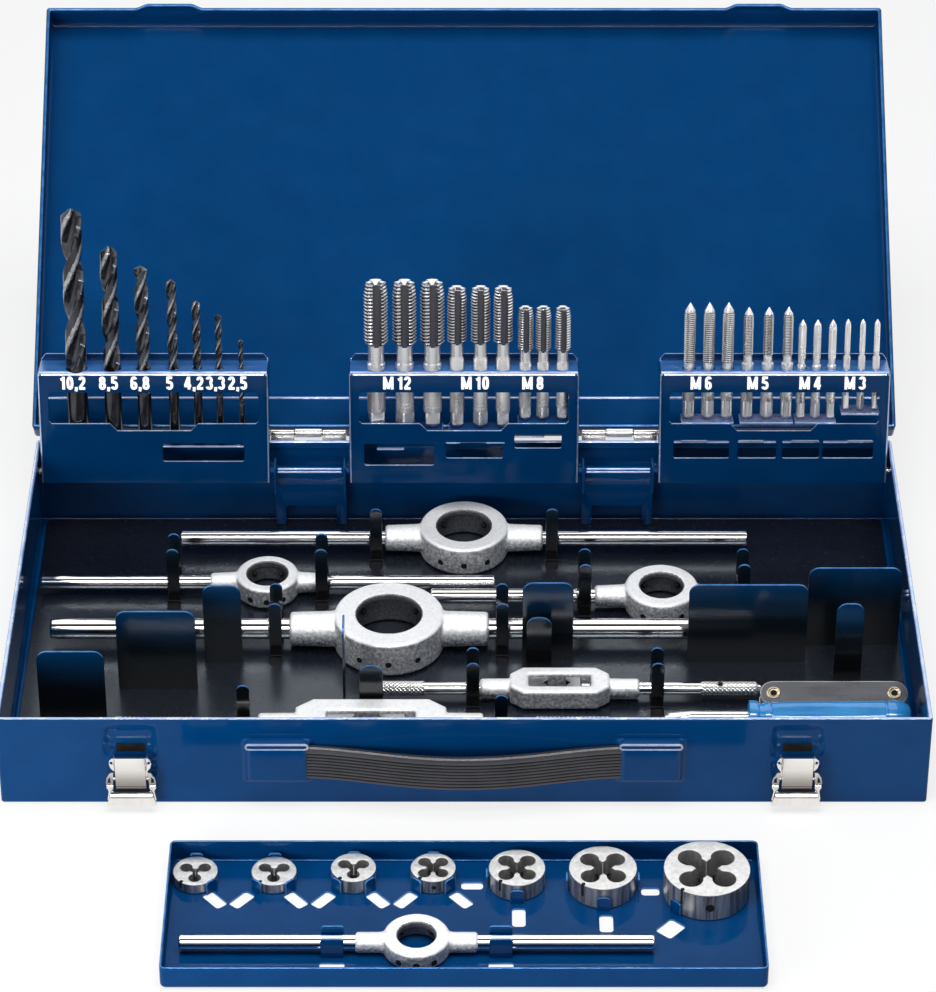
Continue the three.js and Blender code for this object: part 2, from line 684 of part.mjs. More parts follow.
const rackCutouts = {
  drills: [{ fromShare: 0.07, toShare: 0.78, lowShare: 0.2, highShare: 0.36 }],
  tapsLarge: [
    { fromShare: -0.87, toShare: -0.26, lowShare: 0.165, highShare: 0.355 },
    { fromShare: -0.16, toShare: 0.34, lowShare: 0.23, highShare: 0.37 },
    { fromShare: 0.44, toShare: 0.85, lowShare: 0.32, highShare: 0.44 },
  ],
  tapsSmall: [
    { fromShare: -0.87, toShare: -0.385, lowShare: 0.23, highShare: 0.39 },
    { fromShare: -0.31, toShare: 0.025, lowShare: 0.23, highShare: 0.39 },
    { fromShare: 0.077, toShare: 0.4, lowShare: 0.23, highShare: 0.39 },
    { fromShare: 0.43, toShare: 0.87, lowShare: 0.23, highShare: 0.39 },
  ],
};

function rackShell(cutouts, ledges, holes) {
  const face = slab(-rackHalf, rackHalf, faceY, faceY + sheet, faceLowZ, faceTopZ);
  const shelf = slab(-rackHalf, rackHalf, faceY, faceY + rack.shelfDepth, faceTopZ - sheet, faceTopZ);
  const flange = slab(
    -rackHalf, rackHalf, faceY + rack.shelfDepth - sheet, faceY + rack.shelfDepth,
    faceTopZ - sheet, faceTopZ + rack.flangeHeight,
  );
  const earOutline = outlineShape([
    [faceY, faceLowZ],
    [faceY + rack.earDepth, faceLowZ],
    [faceY + rack.earDepth, faceLowZ + rack.earStraight],
    [faceY + rack.shelfDepth, faceTopZ - rack.earTop],
    [faceY + rack.shelfDepth, faceTopZ],
    [faceY, faceTopZ],
  ]);
  let shell = unionOf([
    face, shelf, flange,
    prismX(earOutline, -rackHalf, -rackHalf + sheet),
    prismX(earOutline, rackHalf - sheet, rackHalf),
  ]);
  const windowTop = faceTopZ - rackWindow.labelStrip;
  const windowLow = windowTop - rackWindow.height;
  const windowReach = rackHalf - rackWindow.margin;
  const dipReach = rackWindow.dipWidth * half;
  const slopeReach = dipReach + rackWindow.dipSlope;
  const windowOutline = outlineShape([
    [-windowReach, windowLow],
    [-slopeReach, windowLow],
    [-dipReach, windowLow - rackWindow.dipDepth],
    [dipReach, windowLow - rackWindow.dipDepth],
    [slopeReach, windowLow],
    [windowReach, windowLow],
    [windowReach, windowTop],
    [-windowReach, windowTop],
  ]);
  shell = shell.subtract(prismY(windowOutline, faceY - cutOverrun, faceY + sheet + cutOverrun));
  for (const cut of cutouts) {
    shell = shell.subtract(slab(
      cut.fromShare * rackHalf, cut.toShare * rackHalf, faceY - cutOverrun, faceY + sheet + cutOverrun,
      faceLowZ + cut.lowShare * rack.faceHeight, faceLowZ + cut.highShare * rack.faceHeight,
    ));
  }
  for (const ledge of ledges) {
    shell = shell.add(slab(
      ledge.fromShare * rackHalf, ledge.toShare * rackHalf, faceY + sheet * half, faceY + rack.ledgeDepth,
      ledge.topZ - sheet, ledge.topZ,
    ));
  }
  for (const hole of holes) {
    shell = shell.subtract(boreZ(
      faceTopZ - sheet - cutOverrun, faceTopZ + cutOverrun, hole.diameter + boreClearance, hole.x, toolY,
    ));
  }
  const pivotBore = pivotPin.diameter + boreClearance;
  return shell.subtract(rodX(
    -rackHalf - cutOverrun, rackHalf + cutOverrun, pivotBore, 0, 0, smallSides,
  ));
}

// Twist drill envelope: shank and a conical point
function drillSolid(spec) {
  const radius = spec.diameter * half;
  const bottom = drillRest[spec.rest] + restGap;
  const top = bottom + spec.length;
  const pointHeight = radius / Math.tan(rad(drillPoint) * half);
  return turnedZ(
    [[0, bottom], [radius, bottom], [radius, top - pointHeight], [0, top]],
    spec.atShare * rackHalf, toolY,
  );
}

// Hand tap: square drive at the bottom, shank, neck and threaded part with its lead
function tapSolid(spec, share) {
  const x = share * rackHalf;
  const bottom = tapRest[spec.rest];
  const top = bottom + spec.length;
  const squareTop = bottom + spec.length * squareLengthShare;
  const threadLow = top - spec.threadLength;
  const squareReach = spec.square * half;
  const square = slab(
    x - squareReach, x + squareReach, toolY - squareReach, toolY + squareReach,
    bottom - tapStrip.thickness * half, squareTop + tapStrip.thickness,
  );
  const shankRadius = spec.shank * half;
  const threadRadius = spec.thread * half;
  const lead = spec.blunt ? spec.thread * half * half : spec.thread * half;
  const tipRadius = spec.blunt ? threadRadius * neckShare : threadRadius * half * half;
  const neckRadius = Math.min(shankRadius, threadRadius) * neckShare;
  const profile = [
    [0, squareTop],
    [shankRadius, squareTop],
    [shankRadius, threadLow - lead],
    [neckRadius, threadLow],
    [threadRadius, threadLow + lead * half],
    [threadRadius, top - lead],
    [tipRadius, top],
    [0, top],
  ];
  return square.add(turnedZ(profile, x, toolY, spec.blunt ? smallSides : holeSides));
}

// The three taps of one size, joined by the rest strip that they stand on
function tapSet(spec) {
  const top = tapRest[spec.rest];
  const margin = spec.shank * half + tapStrip.margin;
  const low = Math.min(...spec.atShares) * rackHalf - margin;
  const high = Math.max(...spec.atShares) * rackHalf + margin;
  const strip = slab(
    low, high, faceY + sheet + restGap, faceY + rack.ledgeDepth, top - tapStrip.thickness, top,
  );
  return unionOf([strip, ...spec.atShares.map((share) => tapSolid(spec, share))]);
}

// Bracket between two racks: front plate with an arch, top flange, and two lugs with riveted pins
const bracketHalf = bracket.width * half;

function rackBracket(x) {
  const backY = roomY - restGap;
  const frontY = roomY - bracket.depth;
  const front = slab(
    x - bracketHalf, x + bracketHalf, frontY, frontY + sheet, restZ, bracket.height,
  );
  const top = slab(
    x - bracketHalf, x + bracketHalf, frontY, backY, bracket.height - sheet, bracket.height,
  );
  const archReach = bracket.archWidth * half;
  const arch = slab(
    x - archReach, x + archReach, frontY - cutOverrun, frontY + sheet + cutOverrun,
    restZ - cutOverrun, bracket.archHeight,
  );
  const sides = [-1, 1].map((side) => {
    const outer = x + side * bracketHalf;
    const inner = outer - side * sheet;
    const lug = slab(
      Math.min(outer, inner), Math.max(outer, inner), rackPivotY - bracket.lugReach, frontY + sheet,
      rack.pivotZ - bracket.lugDrop, rack.pivotZ + bracket.lugReach,
    );
    const pinStart = outer - side * sheet * half;
    const pinEnd = outer + side * (bracket.rackGap + sheet + pivotPin.beyondEar);
    return lug.add(rodX(
      Math.min(pinStart, pinEnd), Math.max(pinStart, pinEnd), pivotPin.diameter,
      rackPivotY, rack.pivotZ, smallSides,
    ));
  });
  return unionOf([front.subtract(arch), top, ...sides]);
}

function rackOuterPin(side) {
  const wallEnd = roomX - restGap;
  const low = Math.min(side * wallEnd, side * (wallEnd - pivotPin.length));
  return rodX(low, low + pivotPin.length, pivotPin.diameter, rackPivotY, rack.pivotZ, smallSides);
}

// Die stock: cast ring with a ledge for the die, two bosses, and a rod screwed into each
function dieStock(spec, baseZ) {
  const axisZ = baseZ + spec.height * half;
  const bore = spec.bore * half;
  const outer = spec.outer * half;
  const ledgeRadius = bore - stockRing.ledgeInset;
  const ring = turnedZ([
    [ledgeRadius, baseZ], [outer, baseZ], [outer, baseZ + spec.height], [bore, baseZ + spec.height],
    [bore, baseZ + stockRing.ledge], [ledgeRadius, baseZ + stockRing.ledge], [ledgeRadius, baseZ],
  ], spec.centreX, spec.centreY, ringSides);
  const core = rodZ(
    baseZ - cutOverrun, baseZ + spec.height + cutOverrun, spec.bore, spec.centreX, spec.centreY, ringSides,
  );
  const bossStart = bore + (outer - bore) * half;
  const bossEnd = outer + spec.boss;
  const rootDiameter = Math.min(spec.bossEnd + stockRing.bossFlare, spec.height);
  let stock = ring;
  for (const side of [-1, 1]) {
    const a = spec.centreX + side * bossStart;
    const b = spec.centreX + side * bossEnd;
    const boss = side > 0
      ? coneX(a, b, rootDiameter, spec.bossEnd, spec.centreY, axisZ)
      : coneX(b, a, spec.bossEnd, rootDiameter, spec.centreY, axisZ);
    const start = b - side * stockRing.rodSeat;
    const end = spec.centreX + side * spec.halfLength;
    const rod = rodX(Math.min(start, end), Math.max(start, end), spec.rod, spec.centreY, axisZ);
    stock = unionOf([stock, boss.subtract(core), rod]);
  }
  return stock;
}

// Tap wrench: body with a slot and a fixed vee jaw, a sliding jaw, and a turning handle
function veeJawCut(x, y, size, lowZ, highZ) {
  const outline = outlineShape([[x - size, y], [x, y - size], [x + size, y], [x, y + size]]);
  return prismZ(outline, lowZ, highZ);
}

function wrenchBody(spec, baseZ) {
  const { centreX: x, centreY: y } = spec;
  const top = baseZ + spec.thickness;
  const axisZ = baseZ + spec.thickness * half;
  const reach = spec.bodyLength * half;
  const side = spec.bodyWidth * half;
  const shoulder = spec.slotLength * half;
  const endSide = spec.bossDiameter * half;
  const outline = outlineShape([
    [x - reach, y - endSide], [x - shoulder, y - side], [x + shoulder, y - side], [x + reach, y - endSide],
    [x + reach, y + endSide], [x + shoulder, y + side], [x - shoulder, y + side], [x - reach, y + endSide],
  ]);
  const slotReach = spec.slotWidth * half;
  const slotLow = x - shoulder + spec.fixedJaw;
  const slot = slab(
    slotLow, x + shoulder, y - slotReach, y + slotReach, baseZ - cutOverrun, top + cutOverrun,
  );
  const bossLeft = rodX(x - reach - spec.boss, x - reach + joinOverlap, spec.bossDiameter, y, axisZ);
  const bossRight = rodX(x + reach - joinOverlap, x + reach + spec.boss, spec.bossDiameter, y, axisZ);
  const handle = rodX(x - spec.reachLeft, x - reach - spec.boss + joinOverlap, spec.rod, y, axisZ);
  const grip = rodX(x - spec.reachLeft, x - spec.reachLeft + spec.knurlLength, spec.knurl, y, axisZ);
  const vee = veeJawCut(slotLow, y, slotReach * half, baseZ - cutOverrun, top + cutOverrun);
  const bore = spec.rod + boreClearance;
  const screwHole = rodX(x + shoulder - cutOverrun, x + reach + spec.boss + cutOverrun, bore, y, axisZ);
  return unionOf([prismZ(outline, baseZ, top), bossLeft, bossRight, handle, grip])
    .subtract(slot).subtract(vee).subtract(screwHole);
}

function wrenchJawSpan(spec) {
  const slotHigh = spec.centreX + spec.slotLength * half;
  const high = slotHigh - restGap - restGap;
  return { low: high - spec.slidingJaw, high };
}

function wrenchJaw(spec, baseZ) {
  const span = wrenchJawSpan(spec);
  const reach = spec.slotWidth * half;
  const jaw = slab(
    span.low, span.high, spec.centreY - reach + runningClearance, spec.centreY + reach - runningClearance,
    baseZ + restGap, baseZ + spec.thickness - restGap,
  );
  const vee = veeJawCut(
    span.low, spec.centreY, reach * half, baseZ - cutOverrun, baseZ + spec.thickness + cutOverrun,
  );
  return jaw.subtract(vee);
}

function wrenchHandle(spec, baseZ) {
  const axisZ = baseZ + spec.thickness * half;
  const start = wrenchJawSpan(spec).high + restGap;
  const end = spec.centreX + spec.reachRight;
  const rod = rodX(start, end, spec.rod, spec.centreY, axisZ);
  return rod.add(rodX(end - spec.knurlLength, end, spec.knurl, spec.centreY, axisZ));
}

// Screw pitch gauge: two side plates on eyelets, with the leaf pack between them
function gaugeRivetX(side) {
  return side * (gauge.length * half - gauge.rivetInset);
}

function gaugePlateOutline() {
  const reach = gauge.length * half;
  const side = gauge.width * half;
  const shape = new THREE.Shape();
  shape.moveTo(-reach + side, -side);
  shape.lineTo(reach - side, -side);
  shape.absarc(reach - side, 0, side, -Math.PI * half, Math.PI * half);
  shape.lineTo(-reach + side, side);
  shape.absarc(-reach + side, 0, side, Math.PI * half, Math.PI * (1 + half));
  return shape;
}

function gaugeCase() {
  const top = gauge.thickness * half;
  const plates = [
    prismZ(gaugePlateOutline(), top - gauge.plate, top, endPieces),
    prismZ(gaugePlateOutline(), -top, -top + gauge.plate, endPieces),
  ];
  const rivets = [-1, 1].map((side) => {
    const x = gaugeRivetX(side);
    const shank = rodZ(-top, top, gauge.rivet, x, 0, smallSides);
    const head = rodZ(top - gauge.plate * half, top + gauge.rivetHeadHeight, gauge.rivetHead, x, 0);
    return shank.add(head);
  });
  return unionOf([...plates, ...rivets]);
}

function gaugeLeaves() {
  const top = gauge.thickness * half - gauge.plate - restGap;
  const side = gauge.width * half - gauge.leafInset;
  const left = gaugeRivetX(-1);
  const right = gaugeRivetX(1) - gauge.rivet * half - boreClearance;
  const shape = new THREE.Shape();
  shape.moveTo(left, -side);
  shape.lineTo(right, -side);
  shape.lineTo(right, side);
  shape.lineTo(left, side);
  shape.absarc(left, 0, side, Math.PI * half, Math.PI * (1 + half));
  const bore = gauge.rivet + boreClearance;
  return prismZ(shape, -top, top, endPieces).subtract(
    rodZ(-top - cutOverrun, top + cutOverrun, bore, left, 0, smallSides),
  );
}

// The gauge leans, with its lowest edge resting on the floor sheet
const gaugeLean = rad(gauge.leanAngle);
const gaugePlace = {
  x: roomX - gauge.endGap - gauge.length * half,
  y: gauge.yShare * roomY,
  z: restZ + gauge.width * half * Math.sin(gaugeLean) + gauge.thickness * half * Math.cos(gaugeLean),
};
const gaugeFrontReach = gauge.width * half * Math.cos(gaugeLean)
  + gauge.thickness * half * Math.sin(gaugeLean);

// Screwdriver lying on the floor sheet, in front of the gauge
const driverAxisZ = restZ + driver.handle * half;
const driverY = gaugePlace.y - gaugeFrontReach - driver.gaugeGap - driver.handle * half;
const handleEndX = roomX - driver.endGap;
const handleStartX = handleEndX - driver.handleLength;

function driverHandle() {
  const collarEnd = handleStartX + driver.collar;
  const buttStart = handleEndX - driver.collar;
  const body = rodX(collarEnd, buttStart, driver.handle, driverY, driverAxisZ);
  const butt = coneX(buttStart, handleEndX, driver.handle, driver.handleEnd, driverY, driverAxisZ);
  const neck = coneX(handleStartX, collarEnd, driver.handleEnd, driver.handle, driverY, driverAxisZ);
  const bore = driver.blade + boreClearance;
  const hole = rodX(handleStartX - cutOverrun, collarEnd, bore, driverY, driverAxisZ);
  return unionOf([body, butt, neck]).subtract(hole);
}

function driverBlade() {
  const tipX = handleStartX - driver.bladeLength;
  const shaftX = tipX + driver.tipLength;
  const shaftEnd = handleStartX + driver.collar - restGap;
  const shaft = rodX(shaftX, shaftEnd, driver.blade, driverY, driverAxisZ, smallSides);
  const tipReach = driver.tipThickness * half;
  const widthReach = driver.blade * half * driver.tipWidthShare;
  const wedge = outlineShape([
    [tipX, driverAxisZ - tipReach],
    [shaftX + joinOverlap, driverAxisZ - widthReach],
    [shaftX + joinOverlap, driverAxisZ + widthReach],
    [tipX, driverAxisZ + tipReach],
  ]);
  return shaft.add(prismY(wedge, driverY - widthReach, driverY + widthReach));
}

// Die tray: shallow sheet tray with bent-up tabs that locate the dies and cradle a stock
function dieCentre(die) {
  const x = die.xShare * (tray.width * half - sheet - die.outer * half);
  const rearGap = sheet + restGap + dieTab.thickness + tray.dieGap;
  return { x, y: trayRearY - rearGap - die.outer * half };
}

// One locating tab outside a die, and the hole in the tray's floor that it was bent out of
function dieTabPieces(die, degrees) {
  const centre = dieCentre(die);
  const innerFace = die.outer * half + restGap;
  const outerFace = innerFace + dieTab.thickness;
  const reach = dieTab.width * half;
  const upright = slab(innerFace, outerFace, -reach, reach, sheet * half, sheet + dieTab.height);
  const hole = slab(
    outerFace, outerFace + dieTab.hole, -reach, reach, -cutOverrun, sheet + cutOverrun,
  );
  return [upright, hole].map((solid) => solid.rotate([0, 0, degrees]).translate([centre.x, centre.y, 0]));
}

function dieTray() {
  const reach = tray.width * half;
  const outer = slab(-reach, reach, trayFrontY, trayRearY, 0, tray.height);
  const inner = slab(
    -reach + sheet, reach - sheet, trayFrontY + sheet, trayRearY - sheet, sheet, tray.height + cutOverrun,
  );
  let pan = outer.subtract(inner);
  for (const die of dies) {
    for (const degrees of die.tabAngles) {
      const [upright, hole] = dieTabPieces(die, degrees);
      pan = pan.add(upright);
      if (degrees !== rearTabAngle) pan = pan.subtract(hole);
    }
  }
  const gap = trayStock.rod * half + runningClearance;
  const cradleReach = cradle.width * half;
  for (const side of [-1, 1]) {
    const away = trayStock.outer * half + trayStock.boss + cradle.neck + cradleReach;
    const x = trayStock.centreX + side * away;
    for (const facing of [-1, 1]) {
      const near = trayStock.centreY + facing * gap;
      const far = near + facing * dieTab.thickness;
      pan = pan.add(slab(
        x - cradleReach, x + cradleReach, Math.min(near, far), Math.max(near, far),
        sheet * half, cradle.height,
      ));
    }
  }
  return pan;
}

// Round die: a thread hole opened by three or four chip holes
function roundDie(die) {
  const low = trayRestZ;
  const high = low + die.height;
  const centre = dieCentre(die);
  let body = rodZ(low, high, die.outer, centre.x, centre.y, ringSides);
  body = body.subtract(boreZ(low - cutOverrun, high + cutOverrun, die.thread, centre.x, centre.y));
  const lobe = die.outer * lobeShare * half + die.thread * half * half;
  const ring = die.outer * lobeRingShare * half + die.thread * half * half;
  for (let index = 0; index < die.lobes; index += 1) {
    const angle = rad(rearTabAngle) + (index * Math.PI) / (die.lobes * half);
    body = body.subtract(boreZ(
      low - cutOverrun, high + cutOverrun, lobe, centre.x + ring * Math.cos(angle),
      centre.y + ring * Math.sin(angle),
    ));
  }
  return body;
}

// Assembly: case, lid and hinges
addPiece(model, 'base_pan', basePan(), paint);
addPiece(model, 'floor_inlay', floorInlay(), blackFloor);

const hingeFrame = new THREE.Group();
hingeFrame.position.set(0, hingeAxisY, hingeAxisZ);
model.add(hingeFrame);

const lidFrame = new THREE.Group();
lidFrame.rotation.x = -rad(lid.openAngle);
hingeFrame.add(lidFrame);
addPiece(lidFrame, 'lid_shell', lidShell(), paint);
const outerKnuckles = [0, 2];
const middleKnuckle = [1];
for (const [side, name, baseOwn, lidOwn] of [
  [-1, 'left', outerKnuckles, middleKnuckle],
  [1, 'right', middleKnuckle, outerKnuckles],
]) {
  const x = side * hingeCentreX;
  addPiece(hingeFrame, `hinge_${name}_base_leaf`, hingeLeaf(x, baseOwn, false), nickel);
  addPiece(hingeFrame, `hinge_${name}_pin`, hingePin(x), nickel);
  addPiece(lidFrame, `hinge_${name}_lid_leaf`, hingeLeaf(x, lidOwn, true), nickel);
}

// Assembly: latches and strap
for (const [side, name] of [[-1, 'left'], [1, 'right']]) {
  const x = side * latchCentreX;
  addPiece(model, `latch_${name}_base`, latchBase(x), nickel);
  addPiece(model, `latch_${name}_plate`, latchPlate(x), nickel);
  addPiece(model, `latch_${name}_lever`, latchLever(x), nickel);
}
addPiece(model, 'handle_strap', handleStrap(), strapRubber);

// Assembly: racks with their tools
function rackFrame(centreX) {
  const frame = new THREE.Group();
  frame.position.set(centreX, rackPivotY, rack.pivotZ);
  frame.rotation.x = -rad(rack.leanAngle);
  model.add(frame);
  return frame;
}

const drillHoles = drills.map((spec) => ({ x: spec.atShare * rackHalf, diameter: spec.diameter }));
const tapHoles = (specs) => specs.flatMap((spec) => spec.atShares.map((share) => ({
  x: share * rackHalf, diameter: spec.shank,
})));
const largeTaps = taps.filter((spec) => spec.blunt);
const smallTaps = taps.filter((spec) => !spec.blunt);

const drillFrame = rackFrame(-rackCentreX);
addPiece(drillFrame, 'rack_drills', rackShell(rackCutouts.drills, [
  { fromShare: -1, toShare: 0.05, topZ: drillRest.long },
  { fromShare: 0.08, toShare: 0.85, topZ: drillRest.short },
], drillHoles), paint);
for (const spec of drills) addPiece(drillFrame, spec.name, drillSolid(spec), blackOxide);

const largeFrame = rackFrame(0);
addPiece(largeFrame, 'rack_taps_large', rackShell(rackCutouts.tapsLarge, [], tapHoles(largeTaps)), paint);
for (const spec of largeTaps) addPiece(largeFrame, spec.name, tapSet(spec), brightSteel);

const smallFrame = rackFrame(rackCentreX);
addPiece(smallFrame, 'rack_taps_small', rackShell(rackCutouts.tapsSmall, [], tapHoles(smallTaps)), paint);
for (const spec of smallTaps) addPiece(smallFrame, spec.name, tapSet(spec), brightSteel);

for (const [side, name] of [[-1, 'left'], [1, 'right']]) {
  addPiece(model, `rack_bracket_${name}`, rackBracket(side * bracketCentreX), paint);
  addPiece(model, `rack_outer_pin_${name}`, rackOuterPin(side), nickel);
}

// Assembly: loose hand tools in the case
for (const [name, spec] of Object.entries(caseStocks)) {
  addPiece(model, `stock_${name}`, dieStock(spec, restZ), castMetal);
}
for (const [name, spec] of Object.entries(wrenches)) {
  addPiece(model, `wrench_${name}_body`, wrenchBody(spec, restZ), castMetal);
  addPiece(model, `wrench_${name}_jaw`, wrenchJaw(spec, restZ), brightSteel);
  addPiece(model, `wrench_${name}_handle`, wrenchHandle(spec, restZ), brightSteel);
}
const gaugeFrame = new THREE.Group();
gaugeFrame.position.set(gaugePlace.x, gaugePlace.y, gaugePlace.z);
gaugeFrame.rotation.x = gaugeLean;
model.add(gaugeFrame);
addPiece(gaugeFrame, 'gauge_case', gaugeCase(), gaugeBlack);
addPiece(gaugeFrame, 'gauge_leaves', gaugeLeaves(), brightSteel);
addPiece(model, 'screwdriver_handle', driverHandle(), bluePlastic);
addPiece(model, 'screwdriver_blade', driverBlade(), brightSteel);

// Assembly: die tray in front
addPiece(model, 'die_tray', dieTray(), paint);
for (const die of dies) addPiece(model, die.name, roundDie(die), brightSteel);
addPiece(model, 'stock_tray', dieStock(trayStock, trayRestZ), castMetal);

export default model;
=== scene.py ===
import math

import bmesh
import bpy
import numpy as np
from mathutils import Matrix, Vector


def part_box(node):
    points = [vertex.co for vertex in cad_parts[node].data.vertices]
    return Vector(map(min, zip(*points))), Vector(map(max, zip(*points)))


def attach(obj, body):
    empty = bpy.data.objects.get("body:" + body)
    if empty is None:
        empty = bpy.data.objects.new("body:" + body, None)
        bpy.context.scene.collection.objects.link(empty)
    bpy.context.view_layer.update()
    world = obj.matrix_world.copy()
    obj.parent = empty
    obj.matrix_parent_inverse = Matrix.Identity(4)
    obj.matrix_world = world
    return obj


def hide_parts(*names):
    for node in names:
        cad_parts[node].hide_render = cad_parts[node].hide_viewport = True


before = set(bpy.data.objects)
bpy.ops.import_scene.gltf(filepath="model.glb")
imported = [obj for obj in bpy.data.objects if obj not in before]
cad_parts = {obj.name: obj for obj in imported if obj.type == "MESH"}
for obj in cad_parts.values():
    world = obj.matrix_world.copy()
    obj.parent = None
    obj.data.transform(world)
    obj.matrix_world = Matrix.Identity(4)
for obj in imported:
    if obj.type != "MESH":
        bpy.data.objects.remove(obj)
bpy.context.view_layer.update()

# Shapes are written in millimetres and scaled as they become pieces
MM = 0.001
HALF = 0.5
FULL_TURN = 2 * math.pi


def rad(degrees):
    return math.radians(degrees)


# Camera, at the photograph's place
CAMERA_PLACE = (0.0, -1.587464, 1.191366)
CAMERA_TILT = 55.291
CAMERA_LENS = 160.28
CAMERA_SENSOR = 36.0
CAMERA_SHIFT_X = 0.0043
CAMERA_CLIP = 20.0


def make_camera():
    data = bpy.data.cameras.new("view_camera")
    data.lens = CAMERA_LENS
    data.sensor_width = CAMERA_SENSOR
    data.sensor_fit = "HORIZONTAL"
    data.shift_x = CAMERA_SHIFT_X
    data.clip_end = CAMERA_CLIP
    camera = bpy.data.objects.new("view_camera", data)
    camera.location = CAMERA_PLACE
    camera.rotation_euler = (rad(CAMERA_TILT), 0.0, 0.0)
    bpy.context.scene.collection.objects.link(camera)
    bpy.context.scene.camera = camera


make_camera()


# Shape helpers, in millimetres
class Shape:
    """Points and faces; a face's mark picks its material: 0 for the surface, 1 for an edge, which on painted sheets
    takes a painted highlight, 2 for a painted sheen.
    """

    def __init__(self, points, faces, marks=None):
        self.points = np.asarray(points, dtype=float)
        self.faces = [tuple(face) for face in faces]
        self.marks = [0] * len(self.faces) if marks is None else list(marks)

    def moved(self, matrix):
        turn = np.array(matrix.to_3x3())
        return Shape(self.points @ turn.T + np.array(matrix.to_translation()), self.faces, self.marks)

    def shifted(self, x=0.0, y=0.0, z=0.0):
        return Shape(self.points + np.array((x, y, z)), self.faces, self.marks)

    def mirrored_x(self):
        faces = [tuple(reversed(face)) for face in self.faces]
        return Shape(self.points * np.array((-1.0, 1.0, 1.0)), faces, self.marks)

    def reordered(self, *axes):
        """Columns in a new order; a minus sign is given as -axis-1."""
        columns = [-self.points[:, -axis - 1] if axis < 0 else self.points[:, axis] for axis in axes]
        return Shape(np.column_stack(columns), self.faces, self.marks)


def joined(*shapes):
    points, faces, marks, start = [], [], [], 0
    for shape in shapes:
        points.append(shape.points)
        faces.extend(tuple(index + start for index in face) for face in shape.faces)
        marks.extend(shape.marks)
        start += len(shape.points)
    return Shape(np.vstack(points), faces, marks)


def box_of(node):
    low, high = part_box(node)
    return np.array(low) / MM, np.array(high) / MM


def grid(points, wrap=True, loop=False, start_cap=False, end_cap=False, edge_rows=()):
    """Rows of points joined by quads; a row closes on itself if wrap, the rows do if loop."""
    points = np.asarray(points, dtype=float)
    rows, columns = points.shape[:2]
    faces, marks = [], []
    for i in range(rows if loop else rows - 1):
        j = (i + 1) % rows
        for k in range(columns if wrap else columns - 1):
            m = (k + 1) % columns
            faces.append((i * columns + k, i * columns + m, j * columns + m, j * columns + k))
            marks.append(1 if i in edge_rows else 0)
    if start_cap:
        faces.append(tuple(range(columns - 1, -1, -1)))
        marks.append(0)
    if end_cap:
        faces.append(tuple((rows - 1) * columns + k for k in range(columns)))
        marks.append(0)
    return Shape(points.reshape(-1, 3), faces, marks)


def mesh_of(name, shape, sharp):
    mesh = bpy.data.meshes.new(name)
    mesh.from_pydata((shape.points * MM).tolist(), [], shape.faces)
    mesh.polygons.foreach_set("material_index", shape.marks)
    work = bmesh.new()
    work.from_mesh(mesh)
    bmesh.ops.recalc_face_normals(work, faces=work.faces)
    work.to_mesh(mesh)
    work.free()
    mesh.polygons.foreach_set("use_smooth", [True] * len(mesh.polygons))
    mesh.set_sharp_from_angle(angle=rad(sharp))
    return mesh


def piece(name, shape, materials, body, nodes=(), sharp=38.0, flat=False):
    """One visible piece: it rides on a body, and stands for the CAD nodes that it replaces."""
    if not isinstance(materials, tuple):
        shape = Shape(shape.points, shape.faces)
    made = bpy.data.objects.new(name, mesh_of(name, shape, sharp))
    bpy.context.scene.collection.objects.link(made)
    for material in materials if isinstance(materials, tuple) else (materials,):
        made.data.materials.append(material)
    if flat:
        even = made.modifiers.new("even", "WEIGHTED_NORMAL")
        even.keep_sharp = True
        even.weight = 100
    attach(made, body)
    if nodes:
        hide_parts(*nodes)
    return made


def lathe(profile, sides=48):
    """Profile of (radius, z) points turned about Z."""
    angles = np.arange(sides) * FULL_TURN / sides
    rows = [[(r * math.cos(a), r * math.sin(a), z) for a in angles] for r, z in profile]
    return grid(rows, start_cap=True, end_cap=True)


def ring_lathe(profile, sides=64):
    """Profile of (radius, z) points that closes on itself, turned about Z."""
    angles = np.arange(sides) * FULL_TURN / sides
    rows = [[(r * math.cos(a), r * math.sin(a), z) for a in angles] for r, z in profile]
    return grid(rows, loop=True)


ALONG_X = Matrix(((0, 0, 1, 0), (1, 0, 0, 0), (0, 1, 0, 0), (0, 0, 0, 1)))


def rod_x(low, high, diameter, y, z, chamfer=0.6, sides=48):
    """A round rod along X with rounded ends."""
    radius = diameter * HALF
    steps = [rad(90) * i / 3 for i in range(4)]
    profile = [(radius - chamfer * (1 - math.sin(a)), low + chamfer * (1 - math.cos(a))) for a in steps]
    profile += [(radius - chamfer * (1 - math.cos(a)), high - chamfer * (1 - math.sin(a))) for a in steps]
    return lathe(profile, sides).moved(ALONG_X).shifted(y=y, z=z)


def knurled_x(low, high, diameter, y, z, pitch=2.0, depth=0.55, sides=96):
    """A diamond-knurled grip along X."""
    radius = diameter * HALF
    step = pitch / 6
    across = max(6, round(math.pi * diameter / pitch))
    marks = [0] * sides
    angles = np.arange(sides) * FULL_TURN / sides
    rows = [np.column_stack([radius * 0.86 * np.cos(angles), radius * 0.86 * np.sin(angles), np.full(sides, low)])]
    for run in np.arange(low + 0.5, high - 0.5, step):
        u = angles / FULL_TURN * across
        v = run / pitch
        ridge = np.abs((u + v) % 1.0 - HALF) + np.abs((u - v) % 1.0 - HALF)
        ring = radius - depth * np.maximum(1.0 - ridge * 1.25, 0.0)
        # the grooves between the ridges are marked for a darker steel: painted shade
        marks.extend((ridge < 0.42).astype(int).tolist())
        rows.append(np.column_stack([ring * np.cos(angles), ring * np.sin(angles), np.full(sides, run)]))
    rows.append(np.column_stack([radius * 0.8 * np.cos(angles), radius * 0.8 * np.sin(angles), np.full(sides, high)]))
    grip = grid(rows, start_cap=True, end_cap=True)
    grip.marks = (marks + [0] * len(grip.faces))[:len(grip.faces)]
    return grip.moved(ALONG_X).shifted(y=y, z=z)


